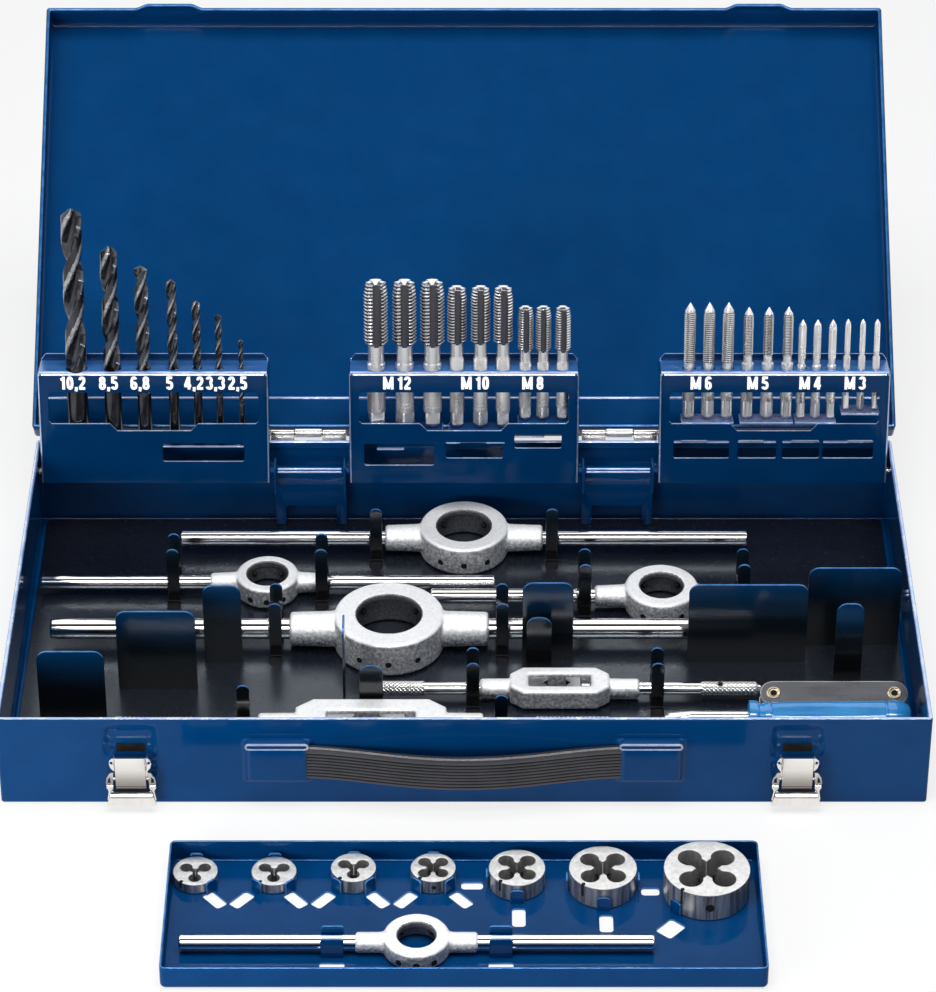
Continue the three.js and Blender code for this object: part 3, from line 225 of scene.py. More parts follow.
def arc(centre_x, centre_y, radius, start, end, steps):
    angles = [rad(start + (end - start) * i / steps) for i in range(steps + 1)]
    return [(centre_x + radius * math.cos(a), centre_y + radius * math.sin(a)) for a in angles]


def rounded_rectangle(low_x, high_x, low_y, high_y, radius, steps=6):
    return (arc(high_x - radius, low_y + radius, radius, -90, 0, steps)
            + arc(high_x - radius, high_y - radius, radius, 0, 90, steps)
            + arc(low_x + radius, high_y - radius, radius, 90, 180, steps)
            + arc(low_x + radius, low_y + radius, radius, 180, 270, steps))


def circle_outline(x, y, radius, steps=28):
    return [(x + radius * math.cos(FULL_TURN * i / steps), y + radius * math.sin(FULL_TURN * i / steps))
            for i in range(steps)]


def stadium(half_length, half_width, steps=12):
    return (arc(half_length - half_width, 0.0, half_width, -90, 90, steps)
            + arc(-half_length + half_width, 0.0, half_width, 90, 270, steps))


def flat_sheet(outline, holes=(), thickness=1.0, bevel=0.2):
    """A flat plate about z = 0 with fine round edges, from its outline and holes in X and Y."""
    curve = bpy.data.curves.new("outline", "CURVE")
    curve.dimensions = "2D"
    curve.fill_mode = "BOTH"
    curve.extrude = thickness * HALF - bevel
    curve.bevel_depth = bevel
    curve.bevel_resolution = 1
    curve.offset = -bevel
    for loop in (outline, *holes):
        spline = curve.splines.new("POLY")
        spline.points.add(len(loop) - 1)
        for point, (x, y) in zip(spline.points, loop):
            point.co = (x, y, 0.0, 1.0)
        spline.use_cyclic_u = True
    carrier = bpy.data.objects.new("outline", curve)
    bpy.context.scene.collection.objects.link(carrier)
    graph = bpy.context.evaluated_depsgraph_get()
    mesh = bpy.data.meshes.new_from_object(carrier.evaluated_get(graph))
    work = bmesh.new()
    work.from_mesh(mesh)
    bmesh.ops.remove_doubles(work, verts=work.verts, dist=bevel * 0.05)
    work.normal_update()
    for face in work.faces:
        face.material_index = 0 if abs(face.normal.z) > 0.98 else 1
    shape = shape_of(work)
    work.free()
    bpy.data.objects.remove(carrier)
    bpy.data.curves.remove(curve)
    bpy.data.meshes.remove(mesh)
    return shape


def shape_of(work):
    work.verts.index_update()
    points = np.array([vert.co[:] for vert in work.verts])
    faces = [tuple(vert.index for vert in face.verts) for face in work.faces]
    return Shape(points, faces, [face.material_index for face in work.faces])


def normals_of(shape):
    work = bmesh.new()
    verts = [work.verts.new(point) for point in shape.points]
    for face in shape.faces:
        work.faces.new([verts[index] for index in face])
    bmesh.ops.recalc_face_normals(work, faces=work.faces)
    work.normal_update()
    normals = np.array([face.normal[:] for face in work.faces])
    work.free()
    return normals


def edges_upward(shape, low=0.35):
    """Keeps the edge mark, and so the painted highlight, only on edges that look up, where the light would catch
    them.
    """
    normals = normals_of(shape)
    marks = [1 if mark == 1 and normal[2] > low else (0 if mark == 1 else mark)
             for mark, normal in zip(shape.marks, normals)]
    return Shape(shape.points, shape.faces, marks)


def cut_across(shape, places, axis):
    """The same surface with extra edges where axis (0 or 1) has the given values."""
    work = bmesh.new()
    verts = [work.verts.new(point) for point in shape.points]
    for face, mark in zip(shape.faces, shape.marks):
        work.faces.new([verts[index] for index in face]).material_index = mark
    normal = Vector((1, 0, 0)) if axis == 0 else Vector((0, 1, 0))
    for place in places:
        bmesh.ops.bisect_plane(
            work, geom=work.verts[:] + work.edges[:] + work.faces[:], dist=1e-5,
            plane_co=normal * place, plane_no=normal,
        )
    cut = shape_of(work)
    work.free()
    return cut


def fold(shape, start, heading, path, axis=1, steps=6):
    """Bends a flat sheet. Its axis coordinate runs along a path of (length, turn in degrees) parts.

    The path lies in a plane of its own: the result keeps the other coordinate first, then the
    path's two coordinates. A positive turn bends to the left. The sheet's z goes to the left of it.
    """
    spans, cuts, at = [], [], 0.0
    place, angle = np.array(start, dtype=float), rad(heading)
    for length, turn in path:
        spans.append((at, length, turn, place.copy(), angle))
        if turn:
            cuts.extend(at + length * i / steps for i in range(steps + 1))
            radius = length / rad(turn)
            centre = place + radius * np.array((-math.sin(angle), math.cos(angle)))
            angle += rad(turn)
            place = centre - radius * np.array((-math.sin(angle), math.cos(angle)))
        else:
            place = place + length * np.array((math.cos(angle), math.sin(angle)))
        at += length
    flat = cut_across(shape, cuts, axis)
    folded = []
    for point in flat.points:
        along, other, up = point[axis], point[1 - axis], point[2]
        for span_at, length, turn, span_place, span_angle in reversed(spans):
            if along >= span_at - 1e-6 or span_at == 0.0:
                break
        run = along - span_at
        side = np.array((-math.sin(span_angle), math.cos(span_angle)))
        if turn:
            radius = length / rad(turn)
            now = span_angle + run / radius
            side_now = np.array((-math.sin(now), math.cos(now)))
            where = span_place + radius * side - (radius - up) * side_now
        else:
            where = span_place + run * np.array((math.cos(span_angle), math.sin(span_angle))) + up * side
        folded.append((other, where[0], where[1]))
    return Shape(folded, flat.faces, flat.marks)


def ribbon(path, half_widths, thickness, corner=0.3):
    """A strip across X along a path of (y, z) points, with round edges."""
    path = np.asarray(path, dtype=float)
    ways = np.gradient(path, axis=0)
    ways /= np.linalg.norm(ways, axis=1)[:, None]
    widths = np.broadcast_to(half_widths, len(path))
    rows = []
    for (y, z), (way_y, way_z), width in zip(path, ways, widths):
        section = rounded_rectangle(-width, width, -thickness * HALF, thickness * HALF, corner, 3)
        rows.append([(x, y - way_z * off, z + way_y * off) for x, off in section])
    return grid(rows, start_cap=True, end_cap=True)


def remeshed(shape, voxel, smooth=4):
    """Overlapping closed shapes melted into one skin, as a casting is."""
    mesh = bpy.data.meshes.new("melt")
    mesh.from_pydata(shape.points.tolist(), [], shape.faces)
    carrier = bpy.data.objects.new("melt", mesh)
    bpy.context.scene.collection.objects.link(carrier)
    melt = carrier.modifiers.new("melt", "REMESH")
    melt.mode = "VOXEL"
    melt.voxel_size = voxel
    even = carrier.modifiers.new("even", "SMOOTH")
    even.factor = HALF
    even.iterations = smooth
    graph = bpy.context.evaluated_depsgraph_get()
    result = bpy.data.meshes.new_from_object(carrier.evaluated_get(graph))
    points = np.empty(len(result.vertices) * 3)
    result.vertices.foreach_get("co", points)
    melted = Shape(points.reshape(-1, 3), [tuple(face.vertices) for face in result.polygons])
    bpy.data.objects.remove(carrier)
    bpy.data.meshes.remove(mesh)
    bpy.data.meshes.remove(result)
    return melted


# Materials
def new_material(name, color, roughness, metallic=0.0, specular=0.5):
    material = bpy.data.materials.new(name)
    material.use_nodes = True
    shader = shader_of(material)
    shader.inputs["Base Color"].default_value = (*color, 1.0)
    shader.inputs["Roughness"].default_value = roughness
    shader.inputs["Metallic"].default_value = metallic
    shader.inputs["Specular IOR Level"].default_value = specular
    return material


def shader_of(material):
    return material.node_tree.nodes["Principled BSDF"]


def noise(material, scale, detail=3.0, rough=0.55, stretch=(1.0, 1.0, 1.0)):
    tree = material.node_tree
    coords = tree.nodes.new("ShaderNodeTexCoord")
    mapping = tree.nodes.new("ShaderNodeMapping")
    mapping.inputs["Scale"].default_value = stretch
    tree.links.new(coords.outputs["Object"], mapping.inputs["Vector"])
    texture = tree.nodes.new("ShaderNodeTexNoise")
    texture.inputs["Scale"].default_value = scale
    texture.inputs["Detail"].default_value = detail
    texture.inputs["Roughness"].default_value = rough
    tree.links.new(mapping.outputs["Vector"], texture.inputs["Vector"])
    return texture.outputs["Fac"]


def ramp(material, value, stops):
    """Colours at places from 0 to 1."""
    tree = material.node_tree
    node = tree.nodes.new("ShaderNodeValToRGB")
    elements = node.color_ramp.elements
    while len(elements) < len(stops):
        elements.new(1.0)
    for element, (place, color) in zip(elements, stops):
        element.position = place
        element.color = (*color, 1.0)
    tree.links.new(value, node.inputs["Fac"])
    return node.outputs["Color"]


def remap(material, value, low, high, from_low=0.3, from_high=0.7):
    tree = material.node_tree
    node = tree.nodes.new("ShaderNodeMapRange")
    node.inputs["From Min"].default_value = from_low
    node.inputs["From Max"].default_value = from_high
    node.inputs["To Min"].default_value = low
    node.inputs["To Max"].default_value = high
    tree.links.new(value, node.inputs["Value"])
    return node.outputs["Result"]


def set_bump(material, height, distance, strength=1.0):
    tree = material.node_tree
    node = tree.nodes.new("ShaderNodeBump")
    node.inputs["Strength"].default_value = strength
    node.inputs["Distance"].default_value = distance
    tree.links.new(height, node.inputs["Height"])
    tree.links.new(node.outputs["Normal"], shader_of(material).inputs["Normal"])


def link_to(material, value, socket):
    material.node_tree.links.new(value, shader_of(material).inputs[socket])


PAINT = (0.0004, 0.041, 0.150)
PAINT_LIGHT = (0.0010, 0.049, 0.172)


def blue_paint(name, specular, shade=1.0):
    material = new_material(name, PAINT, 0.10, specular=specular)
    link_to(material, ramp(material, noise(material, 60.0), [
        (0.3, tuple(c * shade for c in PAINT)), (0.75, tuple(c * shade for c in PAINT_LIGHT)),
    ]), "Base Color")
    link_to(material, remap(material, noise(material, 90.0), 0.07, 0.12), "Roughness")
    set_bump(material, noise(material, 520.0, detail=2.0), 0.000035, 0.5)
    return material


def edge_painted_highlight():
    """Painted highlight on cut and rolled edges: a light blue with a half-metal gloss that also reflects real light.
    """
    material = new_material("edge_painted_highlight", (0.50, 0.60, 0.84), 0.25, metallic=0.6)
    wear = noise(material, 90.0, detail=2.0)
    link_to(material, ramp(material, wear, [
        (0.3, (0.30, 0.43, 0.74)), (0.7, (0.56, 0.66, 0.88)),
    ]), "Base Color")
    link_to(material, remap(material, wear, 0.2, 0.3), "Roughness")
    return material


def painted_sheen():
    """The paint on shelves and rests, which lie so flat to the camera that they mirror the room; its lighter blue is
    painted sheen.
    """
    material = new_material("painted_sheen", PAINT_LIGHT, 0.16, specular=1.0)
    patches = noise(material, 70.0, detail=2.0)
    link_to(material, ramp(material, patches, [
        (0.3, (0.020, 0.11, 0.34)), (0.7, (0.035, 0.15, 0.42)),
    ]), "Base Color")
    link_to(material, remap(material, patches, 0.12, 0.22), "Roughness")
    set_bump(material, noise(material, 300.0, detail=2.0), 0.00003, 0.4)
    return material


def rim_painted_highlight():
    """Painted highlight on the blue rims of the floor's tabs, the lid and the tray."""
    material = new_material("rim_painted_highlight", (0.02, 0.16, 0.42), 0.25, metallic=0.4)
    patches = noise(material, 200.0, detail=2.0)
    link_to(material, ramp(material, patches, [
        (0.3, (0.012, 0.11, 0.32)), (0.75, (0.07, 0.24, 0.55)),
    ]), "Base Color")
    return material


def rest_painted_sheen():
    """Light lavender on the strips that the small taps stand on: painted sheen, with a half-metal gloss."""
    material = new_material("rest_painted_sheen", (0.22, 0.25, 0.40), 0.3, metallic=0.5)
    patches = noise(material, 240.0, detail=3.0)
    link_to(material, ramp(material, patches, [
        (0.3, (0.15, 0.18, 0.32)), (0.7, (0.26, 0.30, 0.46)),
    ]), "Base Color")
    link_to(material, remap(material, patches, 0.24, 0.36), "Roughness")
    return material


def floor_black():
    material = new_material("floor_black", (0.006, 0.007, 0.012), 0.24, specular=0.8)
    link_to(material, ramp(material, noise(material, 700.0, detail=2.0), [
        (0.3, (0.004, 0.005, 0.009)), (0.7, (0.008, 0.010, 0.017)),
    ]), "Base Color")
    shader_of(material).inputs["Specular Tint"].default_value = (0.74, 0.88, 1.0, 1.0)
    link_to(material, remap(material, noise(material, 300.0), 0.22, 0.28), "Roughness")
    set_bump(material, noise(material, 900.0, detail=1.0), 0.00002, 0.5)
    return material


def tab_painted_shade():
    """Painted shade: blue at the top of a tab and black at its foot, by height in the case."""
    material = new_material("tab_painted_shade", PAINT, 0.14, specular=0.5)
    tree = material.node_tree
    coords = tree.nodes.new("ShaderNodeTexCoord")
    split = tree.nodes.new("ShaderNodeSeparateXYZ")
    tree.links.new(coords.outputs["Object"], split.inputs["Vector"])
    height = remap(material, split.outputs["Z"], 0.0, 1.0, 0.010, 0.047)
    link_to(material, ramp(material, height, [
        (0.0, (0.007, 0.007, 0.008)), (0.45, (0.005, 0.010, 0.016)), (0.78, (0.002, 0.024, 0.066)),
        (1.0, (0.001, 0.034, 0.105)),
    ]), "Base Color")
    set_bump(material, noise(material, 520.0, detail=2.0), 0.000035, 0.5)
    return material


def polished(name, color, roughness, stretch, bump=0.000003, metallic=1.0):
    material = new_material(name, color, roughness, metallic=metallic)
    lines = noise(material, 260.0, detail=4.0, stretch=stretch)
    link_to(material, ramp(material, lines, [
        (0.25, tuple(c * 0.93 for c in color)), (0.75, tuple(min(1.0, c * 1.04) for c in color)),
    ]), "Base Color")
    link_to(material, remap(material, lines, roughness * 0.85, roughness * 1.2), "Roughness")
    set_bump(material, lines, bump, 0.4)
    return material


def cast_metal():
    material = new_material("cast_metal", (0.80, 0.81, 0.82), 0.42, metallic=0.35)
    grain = noise(material, 620.0, detail=4.0, rough=0.7)
    tree = material.node_tree
    # painted light: the tops are lighter and the sides darker, mixed by how far each face looks up
    lit_tops = ramp(material, grain, [(0.25, (0.78, 0.79, 0.80)), (0.6, (0.95, 0.96, 0.97))])
    sides = ramp(material, grain, [(0.36, (0.06, 0.07, 0.09)), (0.5, (0.30, 0.31, 0.34)), (0.62, (0.70, 0.71, 0.74))])
    geometry = tree.nodes.new("ShaderNodeNewGeometry")
    split = tree.nodes.new("ShaderNodeSeparateXYZ")
    tree.links.new(geometry.outputs["Normal"], split.inputs["Vector"])
    upward = remap(material, split.outputs["Z"], 0.0, 1.0, -0.25, 0.75)
    mix = tree.nodes.new("ShaderNodeMixRGB")
    for socket, name in ((upward, "Fac"), (sides, "Color1"), (lit_tops, "Color2")):
        tree.links.new(socket, mix.inputs[name])
    link_to(material, mix.outputs["Color"], "Base Color")
    link_to(material, remap(material, noise(material, 130.0), 0.36, 0.55), "Roughness")
    set_bump(material, grain, 0.00028, 0.9)
    return material


def latch_nickel_painted_shade():
    """A latch plate's nickel with painted shade: brighter at its top than near the lever."""
    material = new_material("latch_nickel_painted_shade", (0.8, 0.77, 0.73), 0.22, metallic=1.0)
    tree = material.node_tree
    coords = tree.nodes.new("ShaderNodeTexCoord")
    split = tree.nodes.new("ShaderNodeSeparateXYZ")
    tree.links.new(coords.outputs["Object"], split.inputs["Vector"])
    height = remap(material, split.outputs["Z"], 0.0, 1.0, 0.014, 0.031)
    link_to(material, ramp(material, height, [
        (0.0, (0.24, 0.21, 0.19)), (0.25, (0.40, 0.37, 0.34)), (0.6, (0.78, 0.75, 0.71)), (1.0, (0.92, 0.90, 0.87)),
    ]), "Base Color")
    link_to(material, remap(material, noise(material, 260.0, stretch=(1.0, 1.0, 0.2)), 0.18, 0.26), "Roughness")
    return material


def cast_bore_painted_shade():
    """The rough wall inside a stock's ring and a die's thread, darkened as painted shade."""
    material = new_material("cast_bore_painted_shade", (0.16, 0.165, 0.18), 0.5, metallic=0.6)
    grain = noise(material, 620.0, detail=4.0, rough=0.7)
    link_to(material, ramp(material, grain, [
        (0.3, (0.09, 0.093, 0.10)), (0.7, (0.24, 0.245, 0.26)),
    ]), "Base Color")
    set_bump(material, grain, 0.0002, 0.8)
    return material


def die_steel():
    material = new_material("die_steel", (0.70, 0.70, 0.69), 0.36, metallic=0.9)
    fine = noise(material, 500.0, detail=3.0)
    link_to(material, ramp(material, fine, [
        (0.3, (0.56, 0.56, 0.555)), (0.7, (0.76, 0.76, 0.75)),
    ]), "Base Color")
    link_to(material, remap(material, noise(material, 160.0), 0.3, 0.42), "Roughness")
    set_bump(material, fine, 0.00002, 0.5)
    return material


def die_side():
    material = new_material("die_side", (0.34, 0.34, 0.35), 0.34, metallic=0.6)
    streaks = noise(material, 420.0, detail=4.0, stretch=(1.0, 1.0, 0.06))
    link_to(material, ramp(material, streaks, [
        (0.35, (0.12, 0.12, 0.125)), (0.55, (0.34, 0.34, 0.35)), (0.8, (0.62, 0.62, 0.62)),
    ]), "Base Color")
    link_to(material, remap(material, streaks, 0.2, 0.36), "Roughness")
    return material


def black_oxide():
    material = new_material("black_oxide", (0.040, 0.041, 0.047), 0.2, metallic=0.9, specular=0.6)
    wear = noise(material, 160.0, detail=2.0, stretch=(1.0, 1.0, 0.4))
    link_to(material, ramp(material, wear, [
        (0.35, (0.038, 0.039, 0.044)), (0.6, (0.070, 0.072, 0.082)), (0.85, (0.16, 0.165, 0.18)),
    ]), "Base Color")
    link_to(material, remap(material, wear, 0.17, 0.26), "Roughness")
    return material


def drill_margin():
    """The worn bright edges of the drills' lands."""
    material = new_material("drill_margin", (0.34, 0.34, 0.36), 0.3, metallic=0.8)
    wear = noise(material, 400.0, detail=2.0)
    link_to(material, ramp(material, wear, [
        (0.3, (0.20, 0.20, 0.22)), (0.7, (0.46, 0.46, 0.48)),
    ]), "Base Color")
    link_to(material, remap(material, wear, 0.24, 0.36), "Roughness")
    return material


def strap_rubber():
    material = new_material("strap_rubber", (0.022, 0.022, 0.026), 0.4, specular=0.6)
    grain = noise(material, 1200.0, detail=2.0)
    link_to(material, ramp(material, noise(material, 80.0), [
        (0.3, (0.018, 0.018, 0.022)), (0.75, (0.036, 0.036, 0.044)),
    ]), "Base Color")
    link_to(material, remap(material, grain, 0.32, 0.46), "Roughness")
    set_bump(material, grain, 0.00005, 0.6)
    return material


def gauge_black():
    material = new_material("gauge_black", (0.12, 0.12, 0.13), 0.3, metallic=0.7)
    wear = noise(material, 120.0, detail=3.0, stretch=(0.3, 1.0, 1.0))
    link_to(material, ramp(material, wear, [
        (0.3, (0.085, 0.088, 0.098)), (0.55, (0.12, 0.124, 0.136)), (0.8, (0.16, 0.165, 0.18)),
    ]), "Base Color")
    link_to(material, remap(material, wear, 0.22, 0.36), "Roughness")
    set_bump(material, noise(material, 700.0), 0.00003, 0.5)
    return material


def blue_plastic():
    material = new_material("blue_plastic", (0.03, 0.30, 0.72), 0.12, specular=0.9)
    shader_of(material).inputs["Transmission Weight"].default_value = 0.12
    link_to(material, ramp(material, noise(material, 60.0), [
        (0.3, (0.022, 0.26, 0.66)), (0.7, (0.05, 0.36, 0.82)),
    ]), "Base Color")
    set_bump(material, noise(material, 500.0), 0.00002, 0.4)
    return material


def white_print_and_glow():
    material = new_material("white_print_and_glow", (0.95, 0.95, 0.95), 0.5)
    link_to(material, ramp(material, noise(material, 900.0), [
        (0.3, (0.93, 0.93, 0.93)), (0.6, (0.98, 0.98, 0.98)),
    ]), "Base Color")
    # the print's emission is a painted glow
    shader_of(material).inputs["Emission Color"].default_value = (1.0, 1.0, 1.0, 1.0)
    shader_of(material).inputs["Emission Strength"].default_value = 0.25
    return material


def dark_hollow():
    # black for slits, holes, gaps and the sheets under openings: painted shade; also the stocks' dark screw points
    material = new_material("dark_hollow", (0.006, 0.006, 0.007), 0.7, specular=0.2)
    link_to(material, ramp(material, noise(material, 300.0), [
        (0.3, (0.004, 0.004, 0.005)), (0.7, (0.012, 0.012, 0.013)),
    ]), "Base Color")
    return material


EDGE_HIGHLIGHT_MATERIAL = edge_painted_highlight()
PAINT_MATERIAL = blue_paint("blue_paint", 0.13)
TRAY_MATERIAL = blue_paint("tray_paint", 0.08)
# the racks' blue is a darker copy of the paint: painted shade
RACK_SHADE_MATERIAL = blue_paint("rack_paint_painted_shade", 0.13, 0.66)
FLOOR_MATERIAL = floor_black()
TAB_SHADE_MATERIAL = tab_painted_shade()
LATCH_SHADED_MATERIAL = latch_nickel_painted_shade()
NICKEL_MATERIAL = polished("nickel", (0.84, 0.81, 0.77), 0.2, (1.0, 1.0, 0.2))
ROD_MATERIAL = polished("bright_steel", (0.86, 0.85, 0.85), 0.12, (0.03, 0.4, 0.4))
TAP_MATERIAL = polished("tap_steel", (0.78, 0.77, 0.77), 0.28, (1.0, 1.0, 0.15), metallic=0.8)
# the darker steel in the taps' flutes and thread roots and the knurls' grooves: painted shade
GROOVE_SHADE_MATERIAL = polished("flute_painted_shade", (0.085, 0.085, 0.10), 0.34, (1.0, 1.0, 0.1))
JAW_MATERIAL = polished("jaw_steel", (0.34, 0.34, 0.36), 0.3, (1.0, 1.0, 1.0))
SHEEN_MATERIAL = painted_sheen()
REST_MATERIAL = rest_painted_sheen()
MARGIN_MATERIAL = drill_margin()
CAST_MATERIAL = cast_metal()
BORE_SHADE_MATERIAL = cast_bore_painted_shade()
DIE_MATERIAL = die_steel()
DIE_SIDE_MATERIAL = die_side()
DRILL_MATERIAL = black_oxide()
STRAP_MATERIAL = strap_rubber()
GAUGE_MATERIAL = gauge_black()
PLASTIC_MATERIAL = blue_plastic()
PRINT_MATERIAL = white_print_and_glow()
HOLLOW_MATERIAL = dark_hollow()
BRASS_MATERIAL = polished("brass", (0.86, 0.74, 0.52), 0.26, (1.0, 1.0, 1.0))
RIM_HIGHLIGHT_MATERIAL = rim_painted_highlight()
PAINTED = (PAINT_MATERIAL, EDGE_HIGHLIGHT_MATERIAL, SHEEN_MATERIAL)


# Sizes of the sheet metal, as in the frame
SHEET = 1.0
BASE_LOW, BASE_HIGH = box_of("base_pan")
HALF_WIDTH = BASE_HIGH[0]
BASE_HEIGHT = BASE_HIGH[2]
HALF_DEPTH = BASE_HIGH[1]
HEM = {"height": 4.0, "thickness": 2.0}
RECESS = {"x": 150.0, "half": 11.0, "low": 27.0, "high": 45.0, "depth": 1.7}
BULGE = {"low_x": 70.0, "high_x": 98.0, "low": 14.0, "high": 36.0, "depth": 4.0}
CORNER_RADIUS = 1.6
EDGE_RADIUS = 1.1
LID_EDGE_RADIUS = 2.2


def ease(value):
    value = np.clip(value, 0.0, 1.0)
    return value * value * (3 - 2 * value)


def plateau(value, low, high, width):
    """1 between low and high, 0 outside, with soft shoulders of the given width."""
    return ease((value - low) / width + HALF) * ease((high - value) / width + HALF)


def shoulder(places, width, shares=(-0.6, -0.42, -0.25, -0.08, 0.08, 0.25, 0.42, 0.6)):
    """Places close together across each shoulder of a pressed shape."""
    return [place + share * width for place in places for share in shares]


def rounded_ring(half_x, low_y, high_y, radius, front_xs, corner_steps=6):
    """Points round a rectangle with round corners; the front side has the given x places."""
    points = [(x, low_y) for x in front_xs]
    points += arc(half_x - radius, low_y + radius, radius, -90, 0, corner_steps)
    points += arc(half_x - radius, high_y - radius, radius, 0, 90, corner_steps)
    points += arc(-half_x + radius, high_y - radius, radius, 90, 180, corner_steps)
    points += arc(-half_x + radius, low_y + radius, radius, 180, 270, corner_steps)
    return points


def fillet_rows(radius, steps=5):
    """(inset, height) pairs of a quarter round from a flat bottom into a wall."""
    return [(radius * (1 - math.sin(rad(90) * i / steps)), radius * (1 - math.cos(rad(90) * i / steps)))
            for i in range(steps + 1)]


def crown_rows(crown, top, steps=8):
    """(inset, z) pairs over a rolled rim of the given radius, from outside to inside."""
    return [(crown * (1 - math.cos(rad(180) * i / steps)), top - crown + crown * math.sin(rad(180) * i / steps))
            for i in range(steps + 1)]


def base_rows():
    """(inset, z) round the base's section: underside, outer wall, hem, inner wall, floor."""
    outer_z = sorted(shoulder([BULGE["low"]], 4.0) + shoulder([BULGE["high"]], 2.4)
                     + shoulder([RECESS["low"], RECESS["high"] - 2.2], 6.0) + [6.0, 21.0, 32.0, 40.0])
    outer_z = [z for z in outer_z if EDGE_RADIUS < z < BASE_HEIGHT - 1.3]
    rows = fillet_rows(EDGE_RADIUS)
    rows += [(0.0, z) for z in outer_z]
    crown_start = len(rows)
    rows += crown_rows(HEM["thickness"] * HALF, BASE_HEIGHT)
    crown_end = len(rows) - 1
    hem_foot = BASE_HEIGHT - HEM["height"]
    rows += [(HEM["thickness"], 46.0), (HEM["thickness"], hem_foot + 0.6), (1.8, hem_foot), (SHEET, hem_foot - 0.3)]
    rows += [(SHEET, z) for z in reversed(outer_z) if 3.4 < z < hem_foot - 0.6]
    rows += [(SHEET + inset, SHEET + height) for inset, height in reversed(fillet_rows(1.2))]
    return rows, range(crown_start + 2, crown_end - 1)


def base_pan_piece():
    edge = shoulder([RECESS["x"] - RECESS["half"], RECESS["x"] + RECESS["half"]], 4.6)
    edge += [20.0, 45.0, 84.0, 115.0, 144.0, 147.0, 150.0, 153.0, 156.0, 180.0, 200.0]
    bulged = shoulder([BULGE["low_x"], BULGE["high_x"]], 4.6)
    bulged = [hand * x for x in bulged for hand in (-1, 1)]
    xs = sorted([-x for x in edge] + [0.0] + edge + bulged)
    section, crown = base_rows()
    rows = []
    for inset, z in section:
        ring = rounded_ring(HALF_WIDTH - inset, -HALF_DEPTH + inset, HALF_DEPTH - inset,
                            max(CORNER_RADIUS - inset, 0.6), xs)
        row = []
        for x, y in ring:
            if abs(y + HALF_DEPTH - inset) < 1e-6 and inset < EDGE_RADIUS:
                side = abs(x)
                deep = plateau(side, RECESS["x"] - RECESS["half"], RECESS["x"] + RECESS["half"], 4.6)
                deep *= plateau(z, RECESS["low"], RECESS["high"] - 2.2, 6.0)
                out = plateau(side, BULGE["low_x"], BULGE["high_x"], 4.6)
                out *= ease((z - BULGE["low"]) / 4.0 + HALF) * ease((BULGE["high"] - z) / 2.4 + HALF)
                y += RECESS["depth"] * deep - BULGE["depth"] * out
            row.append((x, y, z))
        rows.append(row)
    # the hem's crown takes the edge's painted highlight
    shape = grid(rows, start_cap=True, end_cap=True, edge_rows=crown)
    piece("base_shell", shape, PAINTED, "case", ["base_pan"], flat=True)
    # the lips of the slits that the strap's ends go into, in the edge's painted highlight, and black sheets of
    # painted shadow in the slits
    middle = (BULGE["low_x"] + BULGE["high_x"]) * HALF
    lip = flat_sheet(stadium(14.4, 1.75), [stadium(13.4, 0.75)], 0.9, 0.3).reordered(0, -3, 1)
    gap = flat_sheet(stadium(13.6, 0.95), (), 0.3, 0.05).reordered(0, -3, 1)
    places = [{"x": hand * middle, "y": -HALF_DEPTH - BULGE["depth"] + 0.35,
               "z": BULGE["high"] - 1.1} for hand in (-1, 1)]
    lips = joined(*[lip.shifted(**place) for place in places])
    slit_shadows = joined(*[gap.shifted(**place) for place in places])
    piece("strap_slit_lips", lips, (EDGE_HIGHLIGHT_MATERIAL, EDGE_HIGHLIGHT_MATERIAL), "case", (), 30.0, flat=True)
    piece("strap_slit_shadows", slit_shadows, HOLLOW_MATERIAL, "case")


base_pan_piece()

# Lid, in the hinge axis's frame as it lies closed
LID_FRAME = Matrix.Translation((0.0, 114.8, 50.0)) @ Matrix.Rotation(rad(-144.0), 4, "X")
LID = {"half": 212.5, "front": -229.3, "rear": -2.8, "rim": -4.0, "top": 14.0, "corner_cut": 9.0,
       "bead": -23.1}
CATCH = {"x": 150.0, "half": 14.0, "low": -4.5, "high": 0.5, "depth": 2.4}


def lid_rim(x, y):
    """Height of the lid's rim: its rear corners are cut back for the hinge."""
    share = ease((y - (LID["rear"] - LID["corner_cut"])) / LID["corner_cut"])
    return LID["rim"] + share * 4.0


